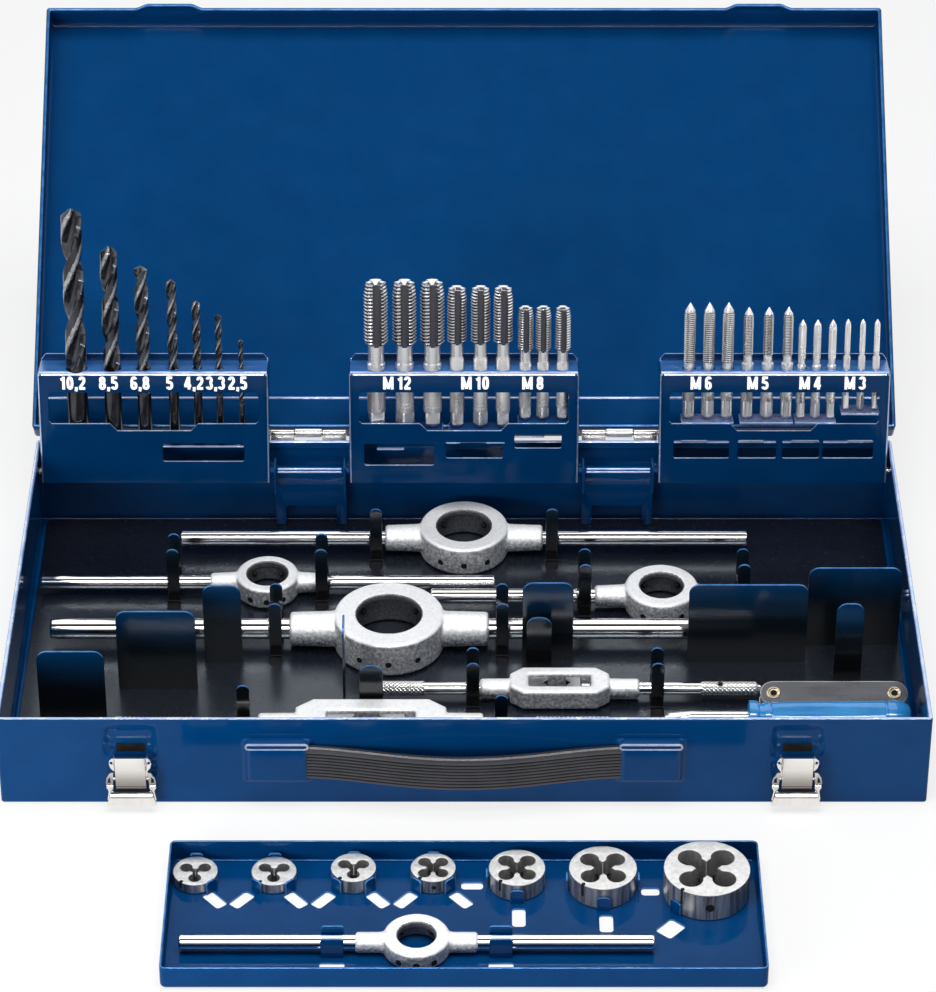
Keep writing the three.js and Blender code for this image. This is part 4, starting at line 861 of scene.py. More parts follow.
def lid_piece():
    edge = shoulder([CATCH["x"] - CATCH["half"], CATCH["x"] + CATCH["half"]], 7.0) + [50.0, 100.0, 150.0, 190.0]
    xs = sorted([-x for x in edge] + [0.0] + edge)
    section = [(inset, LID["top"] - height, 0.0) for inset, height in fillet_rows(LID_EDGE_RADIUS)]
    section += [(0.0, z, 0.0) for z in (8.0, 5.0, 2.6, 1.6, 0.9, 0.3)]
    section += [(0.0, z, 1.0) for z in (-0.6, -1.6, -2.4)]
    crown_start = len(section)
    section += [(inset, 2 * LID["rim"] - z, 1.0) for inset, z in crown_rows(0.9, LID["rim"])]
    crown = range(crown_start + 3, len(section) - 2)
    section += [(1.8, -1.0, 1.0), (1.7, -0.4, 0.8), (SHEET, 0.0, 0.6), (SHEET, 4.0, 0.0), (SHEET, 10.0, 0.0)]
    section += [(SHEET + inset, LID["top"] - SHEET - height, 0.0)
                for inset, height in reversed(fillet_rows(LID_EDGE_RADIUS))]
    rows = []
    for inset, z, follows in section:
        ring = rounded_ring(LID["half"] - inset, LID["front"] + inset, LID["rear"] - inset,
                            max(CORNER_RADIUS - inset, 0.8), xs)
        row = []
        for x, y in ring:
            rise = follows * (lid_rim(x, y) - LID["rim"])
            push = 0.0
            if abs(y - LID["front"] - inset) < 1e-6 and inset < LID_EDGE_RADIUS:
                push = CATCH["depth"] * plateau(abs(x), CATCH["x"] - CATCH["half"], CATCH["x"] + CATCH["half"], 7.0)
                push *= plateau(z, CATCH["low"] - 1.0, CATCH["high"], 2.6)
            row.append((x, y - push, z + rise))
        rows.append(row)
    shape = grid(rows, start_cap=True, end_cap=True, edge_rows=crown)
    # the rim's crown takes the rim's painted highlight
    piece("lid_cover", shape.moved(LID_FRAME), (PAINT_MATERIAL, RIM_HIGHLIGHT_MATERIAL), "lid", ["lid_shell"], flat=True)
    # a rolled bead runs across the lid above its hinges, in the edge's painted highlight
    reach = LID["half"] - SHEET - 3.0
    bead = rod_x(-reach, reach, 1.5, LID["bead"], LID["top"] - SHEET - 0.1, 0.5, 24)
    piece("lid_bead", bead.moved(LID_FRAME), EDGE_HIGHLIGHT_MATERIAL, "lid")


lid_piece()


# Folding racks, in the frame of their pivots
RACK = {
    "half": 56.0, "face_y": -4.0, "low": -5.0, "top": 53.0, "shelf": 18.0, "flange": 3.5, "bend": 1.7,
    "ear": 8.0, "ear_straight": 12.0, "ear_slope": 45.0, "tool_y": 2.3, "height": 58.0,
}
WINDOW = {"half": 51.0, "low": 26.4, "high": 42.6, "dip": 22.7, "dip_half": 18.0, "slope": 3.5}
BORE_CLEARANCE = 0.6


def rack_frame(centre_x):
    return Matrix.Translation((centre_x, 99.5, 38.0)) @ Matrix.Rotation(rad(-12.0), 4, "X")


def window_outline():
    slope = WINDOW["dip_half"] + WINDOW["slope"]
    corner = 1.2
    return [
        (-WINDOW["half"] + corner, WINDOW["low"]), (-slope, WINDOW["low"]),
        (-WINDOW["dip_half"], WINDOW["dip"]), (WINDOW["dip_half"], WINDOW["dip"]),
        (slope, WINDOW["low"]), (WINDOW["half"] - corner, WINDOW["low"]),
        (WINDOW["half"], WINDOW["low"] + corner), (WINDOW["half"], WINDOW["high"] - corner),
        (WINDOW["half"] - corner, WINDOW["high"]), (-WINDOW["half"] + corner, WINDOW["high"]),
        (-WINDOW["half"], WINDOW["high"] - corner), (-WINDOW["half"], WINDOW["low"] + corner),
    ]


def share_box(cut, corner):
    half, low, height = RACK["half"], RACK["low"], RACK["height"]
    return rounded_rectangle(
        cut[0] * half, cut[1] * half, low + cut[2] * height, low + cut[3] * height, corner, 4,
    )


def rack_sheet(cutouts, holes):
    """Face, shelf and rear flange from one flat pattern, folded."""
    half, bend = RACK["half"], RACK["bend"]
    arc_length = bend * math.pi * HALF
    face_run = RACK["top"] - SHEET * HALF - bend - RACK["low"]
    shelf_run = RACK["shelf"] - SHEET - bend - bend
    flange_run = RACK["flange"] + SHEET * HALF - bend
    total = face_run + arc_length + shelf_run + arc_length + flange_run
    chamfer = 3.0
    pattern = [
        (-half + 1.0, 0.0), (half - 1.0, 0.0), (half - 0.6, total - flange_run - 2.0),
        (half - 0.6, total - chamfer), (half - chamfer, total), (-half + chamfer, total),
        (-half + 0.6, total - chamfer), (-half + 0.6, total - flange_run - 2.0),
    ]
    flat_holes = [[(x, z - RACK["low"]) for x, z in window_outline()]]
    flat_holes += [[(x, z - RACK["low"]) for x, z in share_box(cut, 0.9)] for cut in cutouts]
    tool_run = face_run + arc_length + RACK["tool_y"] - (RACK["face_y"] + SHEET * HALF + bend)
    flat_holes += [circle_outline(x, tool_run, (diameter + BORE_CLEARANCE) * HALF, 20)
                   for x, diameter in holes]
    sheet = flat_sheet(pattern, flat_holes, SHEET, 0.22)
    # the path runs up the face, back along the shelf and up the flange
    path = [(face_run, 0), (arc_length, -90), (shelf_run, 0), (arc_length, 90), (flange_run, 0)]
    folded = edges_upward(fold(sheet, (RACK["face_y"] + SHEET * HALF, RACK["low"]), 90.0, path))
    # faces on the top bend that look up and forwards take the edge's painted highlight, the shelf's top the painted
    # sheen
    marks = []
    for face, normal, mark in zip(folded.faces, normals_of(folded), folded.marks):
        middle = folded.points[list(face)].mean(axis=0)
        on_bend = middle[1] < RACK["face_y"] + bend + 0.8 and middle[2] > RACK["top"] - bend - 1.0
        if on_bend and 0.35 < normal[2] < 0.93 and normal[1] < 0:
            mark = 1
        elif normal[2] > 0.9 and middle[2] > RACK["top"] - 1.5:
            mark = 2
        marks.append(mark)
    return Shape(folded.points, folded.faces, marks)


def rack_ear():
    """Right ear with its round bend from the face."""
    bend = 1.2
    arc_length = bend * math.pi * HALF
    flat = 0.4
    depth = RACK["shelf"] - SHEET * HALF - bend
    straight = RACK["ear"] - SHEET * HALF - bend
    start = flat + arc_length
    pattern = [
        (0.0, RACK["low"]), (start + straight, RACK["low"]), (start + straight, RACK["ear_straight"]),
        (start + depth, RACK["ear_slope"]), (start + depth, RACK["top"] - 0.9), (0.0, RACK["top"] - 0.9),
    ]
    sheet = flat_sheet(pattern, [circle_outline(start + 4.0 - SHEET * HALF - bend, 0.0, 2.3, 20)], SHEET, 0.22)
    path = [(flat, 0), (arc_length, 90), (depth, 0)]
    x0 = RACK["half"] - SHEET * HALF - bend - flat
    ear = fold(sheet, (x0, RACK["face_y"] + SHEET * HALF), 0.0, path, axis=0).reordered(1, 2, 0)
    # the ear's bend takes the edge's painted highlight
    marks = []
    for face, normal in zip(ear.faces, normals_of(ear)):
        middle = ear.points[list(face)].mean(axis=0)
        turned = 0.35 < normal[0] < 0.9 and normal[1] < -0.2 and middle[0] > RACK["half"] - 1.6
        marks.append(1 if turned else 0)
    return Shape(ear.points, ear.faces, marks)


def ledge_plate(low_x, high_x, top_z, front=-3.4, rear=6.0, thickness=1.0):
    """A bent-in ledge under the tools."""
    plate = flat_sheet(rounded_rectangle(low_x, high_x, front, rear, 0.6, 3), (), thickness, 0.25)
    return plate.shifted(z=top_z - thickness * HALF)


RACK_CUTOUTS = {
    "drills": [(0.07, 0.78, 0.2, 0.36)],
    "large": [(-0.87, -0.26, 0.165, 0.355), (-0.16, 0.34, 0.23, 0.37), (0.44, 0.85, 0.32, 0.44)],
    "small": [(-0.87, -0.385, 0.23, 0.39), (-0.31, 0.025, 0.23, 0.39), (0.077, 0.4, 0.23, 0.39),
              (0.43, 0.87, 0.23, 0.39)],
}
# Roots of the bent-in rests, seen edge-on at the tops of the cut-outs, drawn in the edge's painted highlight: (share
# from, share to, z)
RACK_ROOTS = {
    "drills": [(0.07, 0.15, 14.6), (0.70, 0.78, 14.6)],
    "large": [(-0.76, -0.52, 13.2), (-0.16, -0.03, 16.6), (0.19, 0.36, 16.6), (0.44, 0.70, 19.8)],
    "small": [(-0.87, -0.80, 16.9), (-0.58, -0.385, 16.9), (-0.09, 0.025, 16.9), (0.077, 0.16, 16.9),
              (0.43, 0.65, 16.9)],
}
DRILLS = [
    ("drill_10_2", -0.666, 10.2, 133.0, 1.5, "10,2"), ("drill_8_5", -0.357, 8.5, 114.0, 1.5, "8,5"),
    ("drill_6_8", -0.084, 6.8, 104.0, 1.5, "6,8"), ("drill_5_0", 0.173, 5.0, 84.0, 14.5, "5"),
    ("drill_4_2", 0.382, 4.2, 73.0, 14.5, "4,2"), ("drill_3_3", 0.571, 3.3, 66.0, 14.5, "3,3"),
    ("drill_2_5", 0.762, 2.5, 53.0, 14.5, "2,5"),
]


def tap_set(at, thread, shank, square, length, run, rest, pitch, blunt):
    return {"at": at, "d": thread, "shank": shank, "square": square, "length": length, "run": run,
            "rest": rest, "pitch": pitch, "blunt": blunt}


TAPS = {
    "taps_m12": tap_set((-0.761, -0.514, -0.273), 12.0, 9.0, 7.0, 75.0, 32.0, 22.2, 1.75, True),
    "taps_m10": tap_set((-0.061, 0.143, 0.339), 10.0, 7.0, 5.5, 72.0, 28.0, 22.2, 1.5, True),
    "taps_m8": tap_set((0.532, 0.686, 0.855), 8.0, 6.0, 4.9, 58.0, 22.0, 26.1, 1.25, True),
    "taps_m6": tap_set((-0.743, -0.575, -0.411), 6.0, 6.0, 4.9, 58.0, 29.0, 26.6, 1.0, False),
    "taps_m5": tap_set((-0.236, -0.062, 0.107), 5.0, 6.0, 4.9, 56.0, 23.0, 26.6, 0.8, False),
    "taps_m4": tap_set((0.232, 0.362, 0.493), 4.0, 4.5, 3.4, 50.0, 19.0, 26.6, 0.7, False),
    "taps_m3": tap_set((0.623, 0.752, 0.877), 3.0, 3.5, 2.7, 46.0, 16.0, 31.3, 0.5, False),
}


def rack_pieces():
    for kind, centre, body, node in (
        ("drills", -151.0, "drill_rack", "rack_drills"),
        ("large", 0.0, "large_tap_rack", "rack_taps_large"),
        ("small", 151.0, "small_tap_rack", "rack_taps_small"),
    ):
        if kind == "drills":
            holes = [(share * RACK["half"], diameter) for _, share, diameter, *_ in DRILLS]
        else:
            holes = [(share * RACK["half"], tap["shank"]) for tap in TAPS.values()
                     if tap["blunt"] == (kind == "large") for share in tap["at"]]
        parts = [rack_sheet(RACK_CUTOUTS[kind], holes), rack_ear(), rack_ear().mirrored_x()]
        if kind == "drills":
            parts.append(ledge_plate(-RACK["half"] + SHEET, 0.05 * RACK["half"], 1.5))
            parts.append(ledge_plate(0.08 * RACK["half"], 0.85 * RACK["half"], 14.5))
        piece(f"{node}_sheet", joined(*parts).moved(rack_frame(centre)), (RACK_SHADE_MATERIAL, *PAINTED[1:]), body,
              [node], 30.0, flat=True)
        roots = [ledge_plate(low * RACK["half"], high * RACK["half"], z, -4.1, -1.5, 0.8)
                 for low, high, z in RACK_ROOTS[kind]]
        piece(f"{node}_roots", joined(*roots).moved(rack_frame(centre)), (EDGE_HIGHLIGHT_MATERIAL, EDGE_HIGHLIGHT_MATERIAL),
              body, (), 30.0, flat=True)


rack_pieces()


# Size marks on the racks' label strips: bold condensed signs, drawn as strokes in a cell of height 1
LABEL = {"z": 47.6, "height": 6.7, "narrow": 0.90, "stroke": 0.205, "space": 0.125, "proud": 0.06, "depth": 0.04}


def oval(centre_x, centre_y, half_x, half_y, start, end, steps=18):
    """Points on a squarish oval; angles run anticlockwise from the right."""
    points = []
    for i in range(steps + 1):
        angle = rad(start + (end - start) * i / steps)
        c, s = math.cos(angle), math.sin(angle)
        points.append((centre_x + math.copysign(abs(c) ** 0.8, c) * half_x,
                       centre_y + math.copysign(abs(s) ** 0.8, s) * half_y))
    return points


# Each sign: its width and its strokes' centre lines; a stroke that ends where it starts is closed
SIGNS = {
    "0": (0.52, [oval(0.26, 0.5, 0.165, 0.41, 0, 360, 28)]),
    "1": (0.40, [[(0.27, 0.0), (0.27, 1.0)], [(0.03, 0.76), (0.20, 0.80), (0.30, 0.92)]]),
    "2": (0.52, [oval(0.26, 0.70, 0.165, 0.21, 175, -25, 14) + [(0.33, 0.46), (0.12, 0.20), (0.09, 0.09)],
                 [(0.01, 0.085), (0.51, 0.085)]]),
    "3": (0.52, [oval(0.24, 0.715, 0.17, 0.20, 165, -85, 16), oval(0.24, 0.29, 0.18, 0.20, 85, -165, 16)]),
    "4": (0.56, [[(0.38, 0.0), (0.38, 1.0)], [(0.34, 0.94), (0.08, 0.30)], [(0.0, 0.285), (0.56, 0.285)]]),
    "5": (0.52, [[(0.10, 0.915), (0.48, 0.915)], [(0.125, 1.0), (0.105, 0.48)],
                 oval(0.25, 0.32, 0.18, 0.235, 135, -160, 18)]),
    "6": (0.52, [oval(0.26, 0.30, 0.165, 0.215, 0, 360, 24), oval(0.27, 0.58, 0.175, 0.335, 35, 200, 14)]),
    "8": (0.52, [oval(0.26, 0.72, 0.145, 0.19, 0, 360, 22), oval(0.26, 0.285, 0.17, 0.20, 0, 360, 24)]),
    ",": (0.20, [[(0.11, 0.19), (0.11, 0.0)], [(0.12, 0.03), (0.07, -0.14)]]),
    "M": (0.80, [[(0.09, 0.0), (0.09, 1.0)], [(0.71, 0.0), (0.71, 1.0)],
                 [(0.10, 0.97), (0.40, 0.06)], [(0.70, 0.97), (0.40, 0.06)]]),
    " ": (0.10, []),
}


def stroke_shape(points, lift):
    """A flat stroke of even width along a centre line."""
    points = np.asarray(points, dtype=float) * LABEL["height"]
    closed = bool(np.allclose(points[0], points[-1]))
    if closed:
        points = points[:-1]
        ways = np.roll(points, -1, axis=0) - np.roll(points, 1, axis=0)
    else:
        ways = np.gradient(points, axis=0)
    ways /= np.linalg.norm(ways, axis=1)[:, None]
    side = np.column_stack([-ways[:, 1], ways[:, 0]]) * LABEL["stroke"] * LABEL["height"] * HALF
    rows = []
    for point, off in zip(points, side):
        left, right = point + off, point - off
        rows.append([(*left, 0.0), (*right, 0.0), (*right, LABEL["depth"] + lift), (*left, LABEL["depth"] + lift)])
    return grid(rows, loop=closed, start_cap=not closed, end_cap=not closed)


def label(name, text, x, centre, body):
    width = sum(SIGNS[sign][0] for sign in text) + LABEL["space"] * (len(text) - 1)
    at, shapes = -width * HALF, []
    for sign in text:
        cell, strokes = SIGNS[sign]
        for order, stroke in enumerate(strokes):
            moved = [((u + at) * LABEL["narrow"], v - HALF) for u, v in stroke]
            shapes.append(stroke_shape(moved, 0.006 * order))
        at += cell + LABEL["space"]
    upright = joined(*shapes).reordered(0, -3, 1).shifted(x=x, y=RACK["face_y"] - LABEL["proud"], z=LABEL["z"])
    piece(name, upright.moved(rack_frame(centre)), PRINT_MATERIAL, body, (), 20.0)


LABEL_SHIFT = -1.5
for name, share, *_, text in DRILLS:
    label(f"mark_{name}", text, share * RACK["half"] + LABEL_SHIFT, -151.0, "drill_rack")
for size, x in (("12", -32.5), ("10", 5.4), ("8", 33.4)):
    label(f"mark_m{size}", f"M {size}", x, 0.0, "large_tap_rack")
for size, x in (("6", -35.9), ("5", -8.4), ("4", 17.0), ("3", 38.8)):
    label(f"mark_m{size}", f"M {size}", x, 151.0, "small_tap_rack")


# Twist drills and hand taps
def fluted_radius(angles, radius, flutes, centre_share, flute_share):
    """Radius round a shaft with round flutes; shares are of the shaft's radius."""
    pitch = FULL_TURN / flutes
    away = (angles + pitch * HALF) % pitch - pitch * HALF
    centre, cutter = centre_share * radius, flute_share * radius
    inside = cutter ** 2 - (centre * np.sin(away)) ** 2
    near = centre * np.cos(away) - np.sqrt(np.maximum(inside, 0.0))
    return np.where((inside > 0) & (np.abs(away) < math.pi * HALF), np.minimum(near, radius), radius)


def round_shape(radii, zs, angles):
    """A closed shape from radii by row and angle."""
    radii = np.asarray(radii)
    heights = np.broadcast_to(np.asarray(zs)[:, None], radii.shape)
    points = np.stack([radii * np.cos(angles), radii * np.sin(angles), heights], axis=-1)
    return grid(points, start_cap=True, end_cap=True)


DRILL_POINT = 118.0
DRILL_HELIX = 28.0
FLUTE_SHARE_OF_LENGTH = 0.66


def drill_shape(diameter, length, rest):
    radius = diameter * HALF
    bottom = rest + 0.3
    top = bottom + length
    flute_low = bottom + length * (1 - FLUTE_SHARE_OF_LENGTH)
    lead = math.pi * diameter / math.tan(rad(DRILL_HELIX))
    flute_z = np.arange(flute_low, top, max(diameter * 0.1, 0.35))
    zs = np.concatenate([[bottom, bottom + 0.6, flute_low - radius * HALF], flute_z, [top]])
    angles = np.arange(72) * FULL_TURN / 72
    point_slope = math.tan(rad(DRILL_POINT) * HALF)
    rows, marks = [], []
    for z in zs:
        opened = float(ease((z - flute_low) / (radius * 1.6)))
        away = angles - (z - flute_low) / lead * FULL_TURN
        cut = fluted_radius(away, radius, 2, 1.03, 0.74 * opened + 1e-4)
        # the land is a raised margin at the flute's edge, and relieved behind it
        margin = (np.cos((away - math.pi * HALF) * 2 - 0.62) > 0.90) & (cut >= radius)
        land = np.where(margin | (opened < HALF), radius, radius * 0.955)
        marks.extend((margin & (opened > HALF)).astype(int).tolist())
        body = np.maximum(np.minimum(cut, land), radius * 0.16)
        cone = max((top - z) * point_slope, 0.02 * radius)
        rows.append(np.minimum(np.minimum(body, cone), radius - 0.4 if z == bottom else radius))
    shape = round_shape(rows, zs, angles)
    shape.marks = marks[:len(shape.faces) - 2] + [0, 0]
    return shape


for name, share, diameter, length, rest, _ in DRILLS:
    shape = drill_shape(diameter, length, rest).shifted(x=share * RACK["half"], y=RACK["tool_y"])
    piece(f"{name}_twist", shape.moved(rack_frame(-151.0)), (DRILL_MATERIAL, MARGIN_MATERIAL), "drill_rack",
          [name], 42.0)


def tap_shape(tap, index):
    """A hand tap on its end: square, shank with ring grooves, neck, fluted thread, crown or point."""
    radius, shank, pitch = tap["d"] * HALF, tap["shank"] * HALF, tap["pitch"]
    bottom, blunt = tap["rest"], tap["blunt"]
    top = bottom + tap["length"]
    thread_low = top - tap["run"]
    neck = min(shank, radius) * 0.86
    square_half = tap["square"] * HALF
    square_top = bottom + (tap["length"] * 0.11 if blunt else tap["length"] * 0.17)
    turn = rad((12.0, 38.0, 3.0)[index])
    flute_phase = rad(-90.0 + ((2.0, -3.0, 1.0) if blunt else (14.0, -22.0, 4.0))[index])
    angles = np.arange(60) * FULL_TURN / 60
    square = square_half / np.maximum(np.abs(np.cos(angles - turn)), np.abs(np.sin(angles - turn)))
    square = np.minimum(square, shank * 1.02)
    flutes, depth = 3, (0.53 if blunt else 0.42)
    flute_low = thread_low - radius * 1.1
    rooted = tap["d"] > 4.5
    zs, rows = [], []

    def ring(z, radii):
        zs.append(z)
        rows.append(np.broadcast_to(radii, angles.shape))

    def flute(z):
        opened = float(ease((z - flute_low) / (radius * 1.4)))
        return fluted_radius(angles - flute_phase, radius, flutes, 1.15, depth * opened + 1e-4)

    ring(bottom, square * 0.18)
    ring(bottom + square_half * 0.85, square)
    ring(square_top, square)
    ring(square_top + 0.3, np.full_like(angles, shank * 0.97))
    ring(square_top + 0.6, np.full_like(angles, shank))
    grooves = {0: (), 1: (0.0, 1.9), 2: (0.0,)}[index]
    if tap["d"] < 3.5:
        grooves = ()
    at = square_top + (shank * 0.7 if blunt else shank * 1.1)
    for groove in grooves:
        for step, cut in ((0.0, 0.0), (0.12, 0.4), (0.6, 0.4), (0.72, 0.0)):
            ring(at + groove + step, np.full_like(angles, shank - cut))
    neck_low = thread_low - radius * 1.6
    ring(neck_low, np.full_like(angles, shank))
    ring(neck_low + 0.8, np.full_like(angles, neck))
    for z in np.linspace(neck_low + 1.6, thread_low - 0.4, 5):
        ring(z, np.minimum(neck, flute(z)))
    lead = tap["d"] * (0.5 if blunt else 0.3)
    tip = radius * (0.84 if blunt else 0.86)
    thread_top = top if blunt else top - radius * 0.7
    for z in np.arange(thread_low, thread_top, pitch * 0.25):
        phase = (z / pitch - angles / FULL_TURN) % 1.0
        tooth = np.abs(phase * 2 - 1)
        near_tip = max(z - (thread_top - lead), 0.0) / lead
        outer = radius - (radius - tip) * near_tip
        start = min((z - thread_low) / pitch, 1.0)
        threaded = neck + (outer - 0.66 * pitch * tooth * (1 - 0.3 * near_tip) - neck) * start
        ring(z, np.minimum(threaded, flute(z)))
    end = np.minimum(tip, flute(top))
    if blunt:
        ring(top, end * 0.97)
        ring(top - 0.4, end * 0.6)
        ring(top - 1.8, np.full_like(angles, radius * 0.08))
    else:
        ring(top - radius * 0.6, end)
        ring(top + radius * 0.75, np.full_like(angles, radius * 0.05))
    shape = round_shape(rows, zs, angles)
    # the flutes' floors and the threads' roots get a darker steel: painted shade
    columns = len(angles)
    shaded_floor = []
    for i in range(len(zs) - 1):
        floor = (flute(zs[i]) < (radius - 0.66 * pitch) * 0.99) & blunt
        middle = (zs[i] + zs[i + 1]) * HALF
        phase = (middle / pitch - (angles + math.pi / 60) / FULL_TURN) % 1.0
        root = (np.abs(phase * 2 - 1) > HALF) & (thread_low < zs[i] < thread_top - 0.2) & rooted
        floor = floor | root
        shaded_floor.extend(1 if floor[k] and zs[i] > flute_low + radius * 0.5 and zs[i] < top - 0.3 else 0
                         for k in range(columns))
    shape.marks = shaded_floor + [0] * (len(shape.faces) - len(shaded_floor))
    return shape


def rest_strip(tap):
    """The strip that a set stands on."""
    margin = tap["shank"] * HALF + 0.5
    low = min(tap["at"]) * RACK["half"] - margin
    high = max(tap["at"]) * RACK["half"] + margin
    return ledge_plate(low, high, tap["rest"] - 0.05, -2.8, 9.0)


def tap_pieces():
    for name, tap in TAPS.items():
        body, centre = ("large_tap_rack", 0.0) if tap["blunt"] else ("small_tap_rack", 151.0)
        shapes = [tap_shape(tap, index).shifted(x=share * RACK["half"], y=RACK["tool_y"])
                  for index, share in enumerate(tap["at"])]
        piece(f"{name}_set", joined(*shapes).moved(rack_frame(centre)), (TAP_MATERIAL, GROOVE_SHADE_MATERIAL),
              body, [name], 32.0)
        top_paint = PAINTED if tap["blunt"] else (REST_MATERIAL, EDGE_HIGHLIGHT_MATERIAL)
        piece(f"{name}_rest", rest_strip(tap).moved(rack_frame(centre)), top_paint, body,
              (), 30.0, flat=True)


tap_pieces()


# Floor sheet with its bent-up tabs
FLOOR_LOW, FLOOR_HIGH = box_of("floor_inlay")
FLOOR_TOP = 2.3
REST = 2.6
TAB = {"thickness": 1.0, "narrow": 6.0, "stop": 11.0, "pair": 30.0, "low": 25.0, "wide": 45.0,
       "corner": 5.0, "rod_gap": 2.5}


def stock_spec(x, y, outer, bore, height, rod, reach, boss, end, eye):
    return {"x": x, "y": y, "outer": outer, "bore": bore, "height": height, "rod": rod, "reach": reach,
            "boss": boss, "end": end, "eye": eye}


STOCKS = {
    "rear": stock_spec(0.0, 82.0, 43.0, 30.4, 15.0, 8.0, 139.0, 17.0, 12.5, 26.4),
    "left": stock_spec(-95.04, 47.5, 30.0, 20.4, 11.0, 7.0, 110.0, 12.5, 9.0, 19.4),
    "right": stock_spec(94.96, 35.0, 35.0, 25.4, 13.0, 7.0, 111.0, 14.5, 10.0, 20.6),
    "middle": stock_spec(-35.52, 5.0, 52.0, 38.4, 18.0, 10.0, 161.0, 21.0, 16.0, 30.8),
    "tray": stock_spec(-20.5, -215.0, 29.0, 20.4, 9.0, 7.0, 103.0, 12.0, 9.0, 16.4),
}
WRENCHES = {
    "small": {"x": 44.7, "y": -37.0, "length": 46.6, "width": 20.0, "thick": 11.0, "boss": 14.0,
              "boss_d": 9.0, "rod": 6.0, "knurl": 7.0, "knurl_run": 28.0, "left": 91.0, "right": 94.0,
              "slot": 29.0, "slot_w": 9.0, "jaw": 9.0, "slide": 11.0},
    "large": {"x": -43.0, "y": -67.0, "length": 70.0, "width": 26.0, "thick": 13.0, "boss": 17.0,
              "boss_d": 12.0, "rod": 8.0, "knurl": 9.0, "knurl_run": 36.0, "left": 118.0, "right": 112.0,
              "slot": 41.0, "slot_w": 8.0, "jaw": 13.0, "slide": 16.0},
}


def tab_sheet(width, height):
    """An upright tab with round top corners, front to -Y."""
    half = width * HALF
    corner = min(TAB["corner"], half - 0.2)
    outline = [(-half, -0.6), (half, -0.6)]
    outline += arc(half - corner, height - corner, corner, 0, 90, 6)
    outline += arc(-half + corner, height - corner, corner, 90, 180, 6)
    return edges_upward(flat_sheet(outline, (), TAB["thickness"], 0.3).reordered(0, -3, 1), 0.2)


def rod_tab_places():
    """(x, y, width, height) of the tabs that hold rods and stop the large wrench."""
    pairs = [
        (STOCKS["left"], (-0.409, 0.24), (-1, 1), TAB["pair"]),
        (STOCKS["right"], (-0.333, 0.351), (-1, 1), TAB["pair"]),
        (STOCKS["middle"], (-0.3335, 0.3335), (-1, 1), TAB["pair"]),
        (STOCKS["rear"], (-0.309, 0.309), (-1,), TAB["pair"]),
        (WRENCHES["small"], (-0.431, 0.484), (-1, 1), TAB["low"]),
        (WRENCHES["large"], (-0.5,), (1,), TAB["low"]),
        (WRENCHES["large"], (0.509,), (-1,), TAB["pair"]),
    ]
    places = []
    for tool, shares, sides, height in pairs:
        reach = tool.get("reach") or max(tool["left"], tool["right"])
        away = tool["rod"] * HALF + TAB["rod_gap"] + TAB["thickness"] * HALF
        places += [(tool["x"] + share * reach, tool["y"] + side * away, TAB["narrow"], height)
                   for share in shares for side in sides]
    large = WRENCHES["large"]
    places.append((large["x"], large["y"] + large["width"] * HALF + TAB["rod_gap"], TAB["stop"], TAB["pair"]))
    return places


# Wide tabs that the folded tools come down against: shares of the floor sheet's reach, width, height
WIDE_TABS = [
    (-0.943, -0.555, 31.0, "wide"), (-0.761, -0.271, 37.0, "wide"), (-0.574, -0.083, 18.0, "wide"),
    (0.2026, -0.064, 24.0, "wide"), (0.1756, -0.128, 12.0, "pair"), (0.746, -0.078, 56.0, "wide"),
    (0.9973, 0.046, 44.0, "wide"), (0.898, -0.216, 13.0, "wide"),
]


def outline_of_floor(inset):
    return rounded_rectangle(FLOOR_LOW[0] + inset, FLOOR_HIGH[0] - inset,
                             FLOOR_LOW[1] + inset, FLOOR_HIGH[1] - inset, 3.0)


def floor_pieces():
    places = rod_tab_places()
    slots = [rounded_rectangle(x - width * HALF, x + width * HALF, y - 8.2, y - 1.0, 1.2, 3)
             for x, y, width, _ in places]
    for share_x, share_y, width, kind in WIDE_TABS:
        places.append((share_x * (FLOOR_HIGH[0] - width * HALF), share_y * FLOOR_HIGH[1], width, TAB[kind]))
    tabs = [tab_sheet(width, height).shifted(x, y, FLOOR_TOP) for x, y, width, height in places]
    across = tab_sheet(14.0, TAB["wide"]).reordered(1, 0, 2)
    tabs.append(across.shifted(-0.27 * FLOOR_HIGH[0], -0.33 * FLOOR_HIGH[1], FLOOR_TOP))
    piece("floor_tabs", joined(*tabs), (TAB_SHADE_MATERIAL, RIM_HIGHLIGHT_MATERIAL), "case", (), 30.0, flat=True)
    # a black sheet under the floor's slots: painted shade
    shade = flat_sheet(outline_of_floor(3.0), (), 0.15, 0.02).shifted(z=1.17)
    piece("floor_shade", shade, HOLLOW_MATERIAL, "case")
    plate = flat_sheet(outline_of_floor(0.0), slots, 1.0, 0.2).shifted(z=FLOOR_TOP - HALF)
    piece("floor_plate", plate, FLOOR_MATERIAL, "case", ["floor_inlay"], 30.0, flat=True)


floor_pieces()


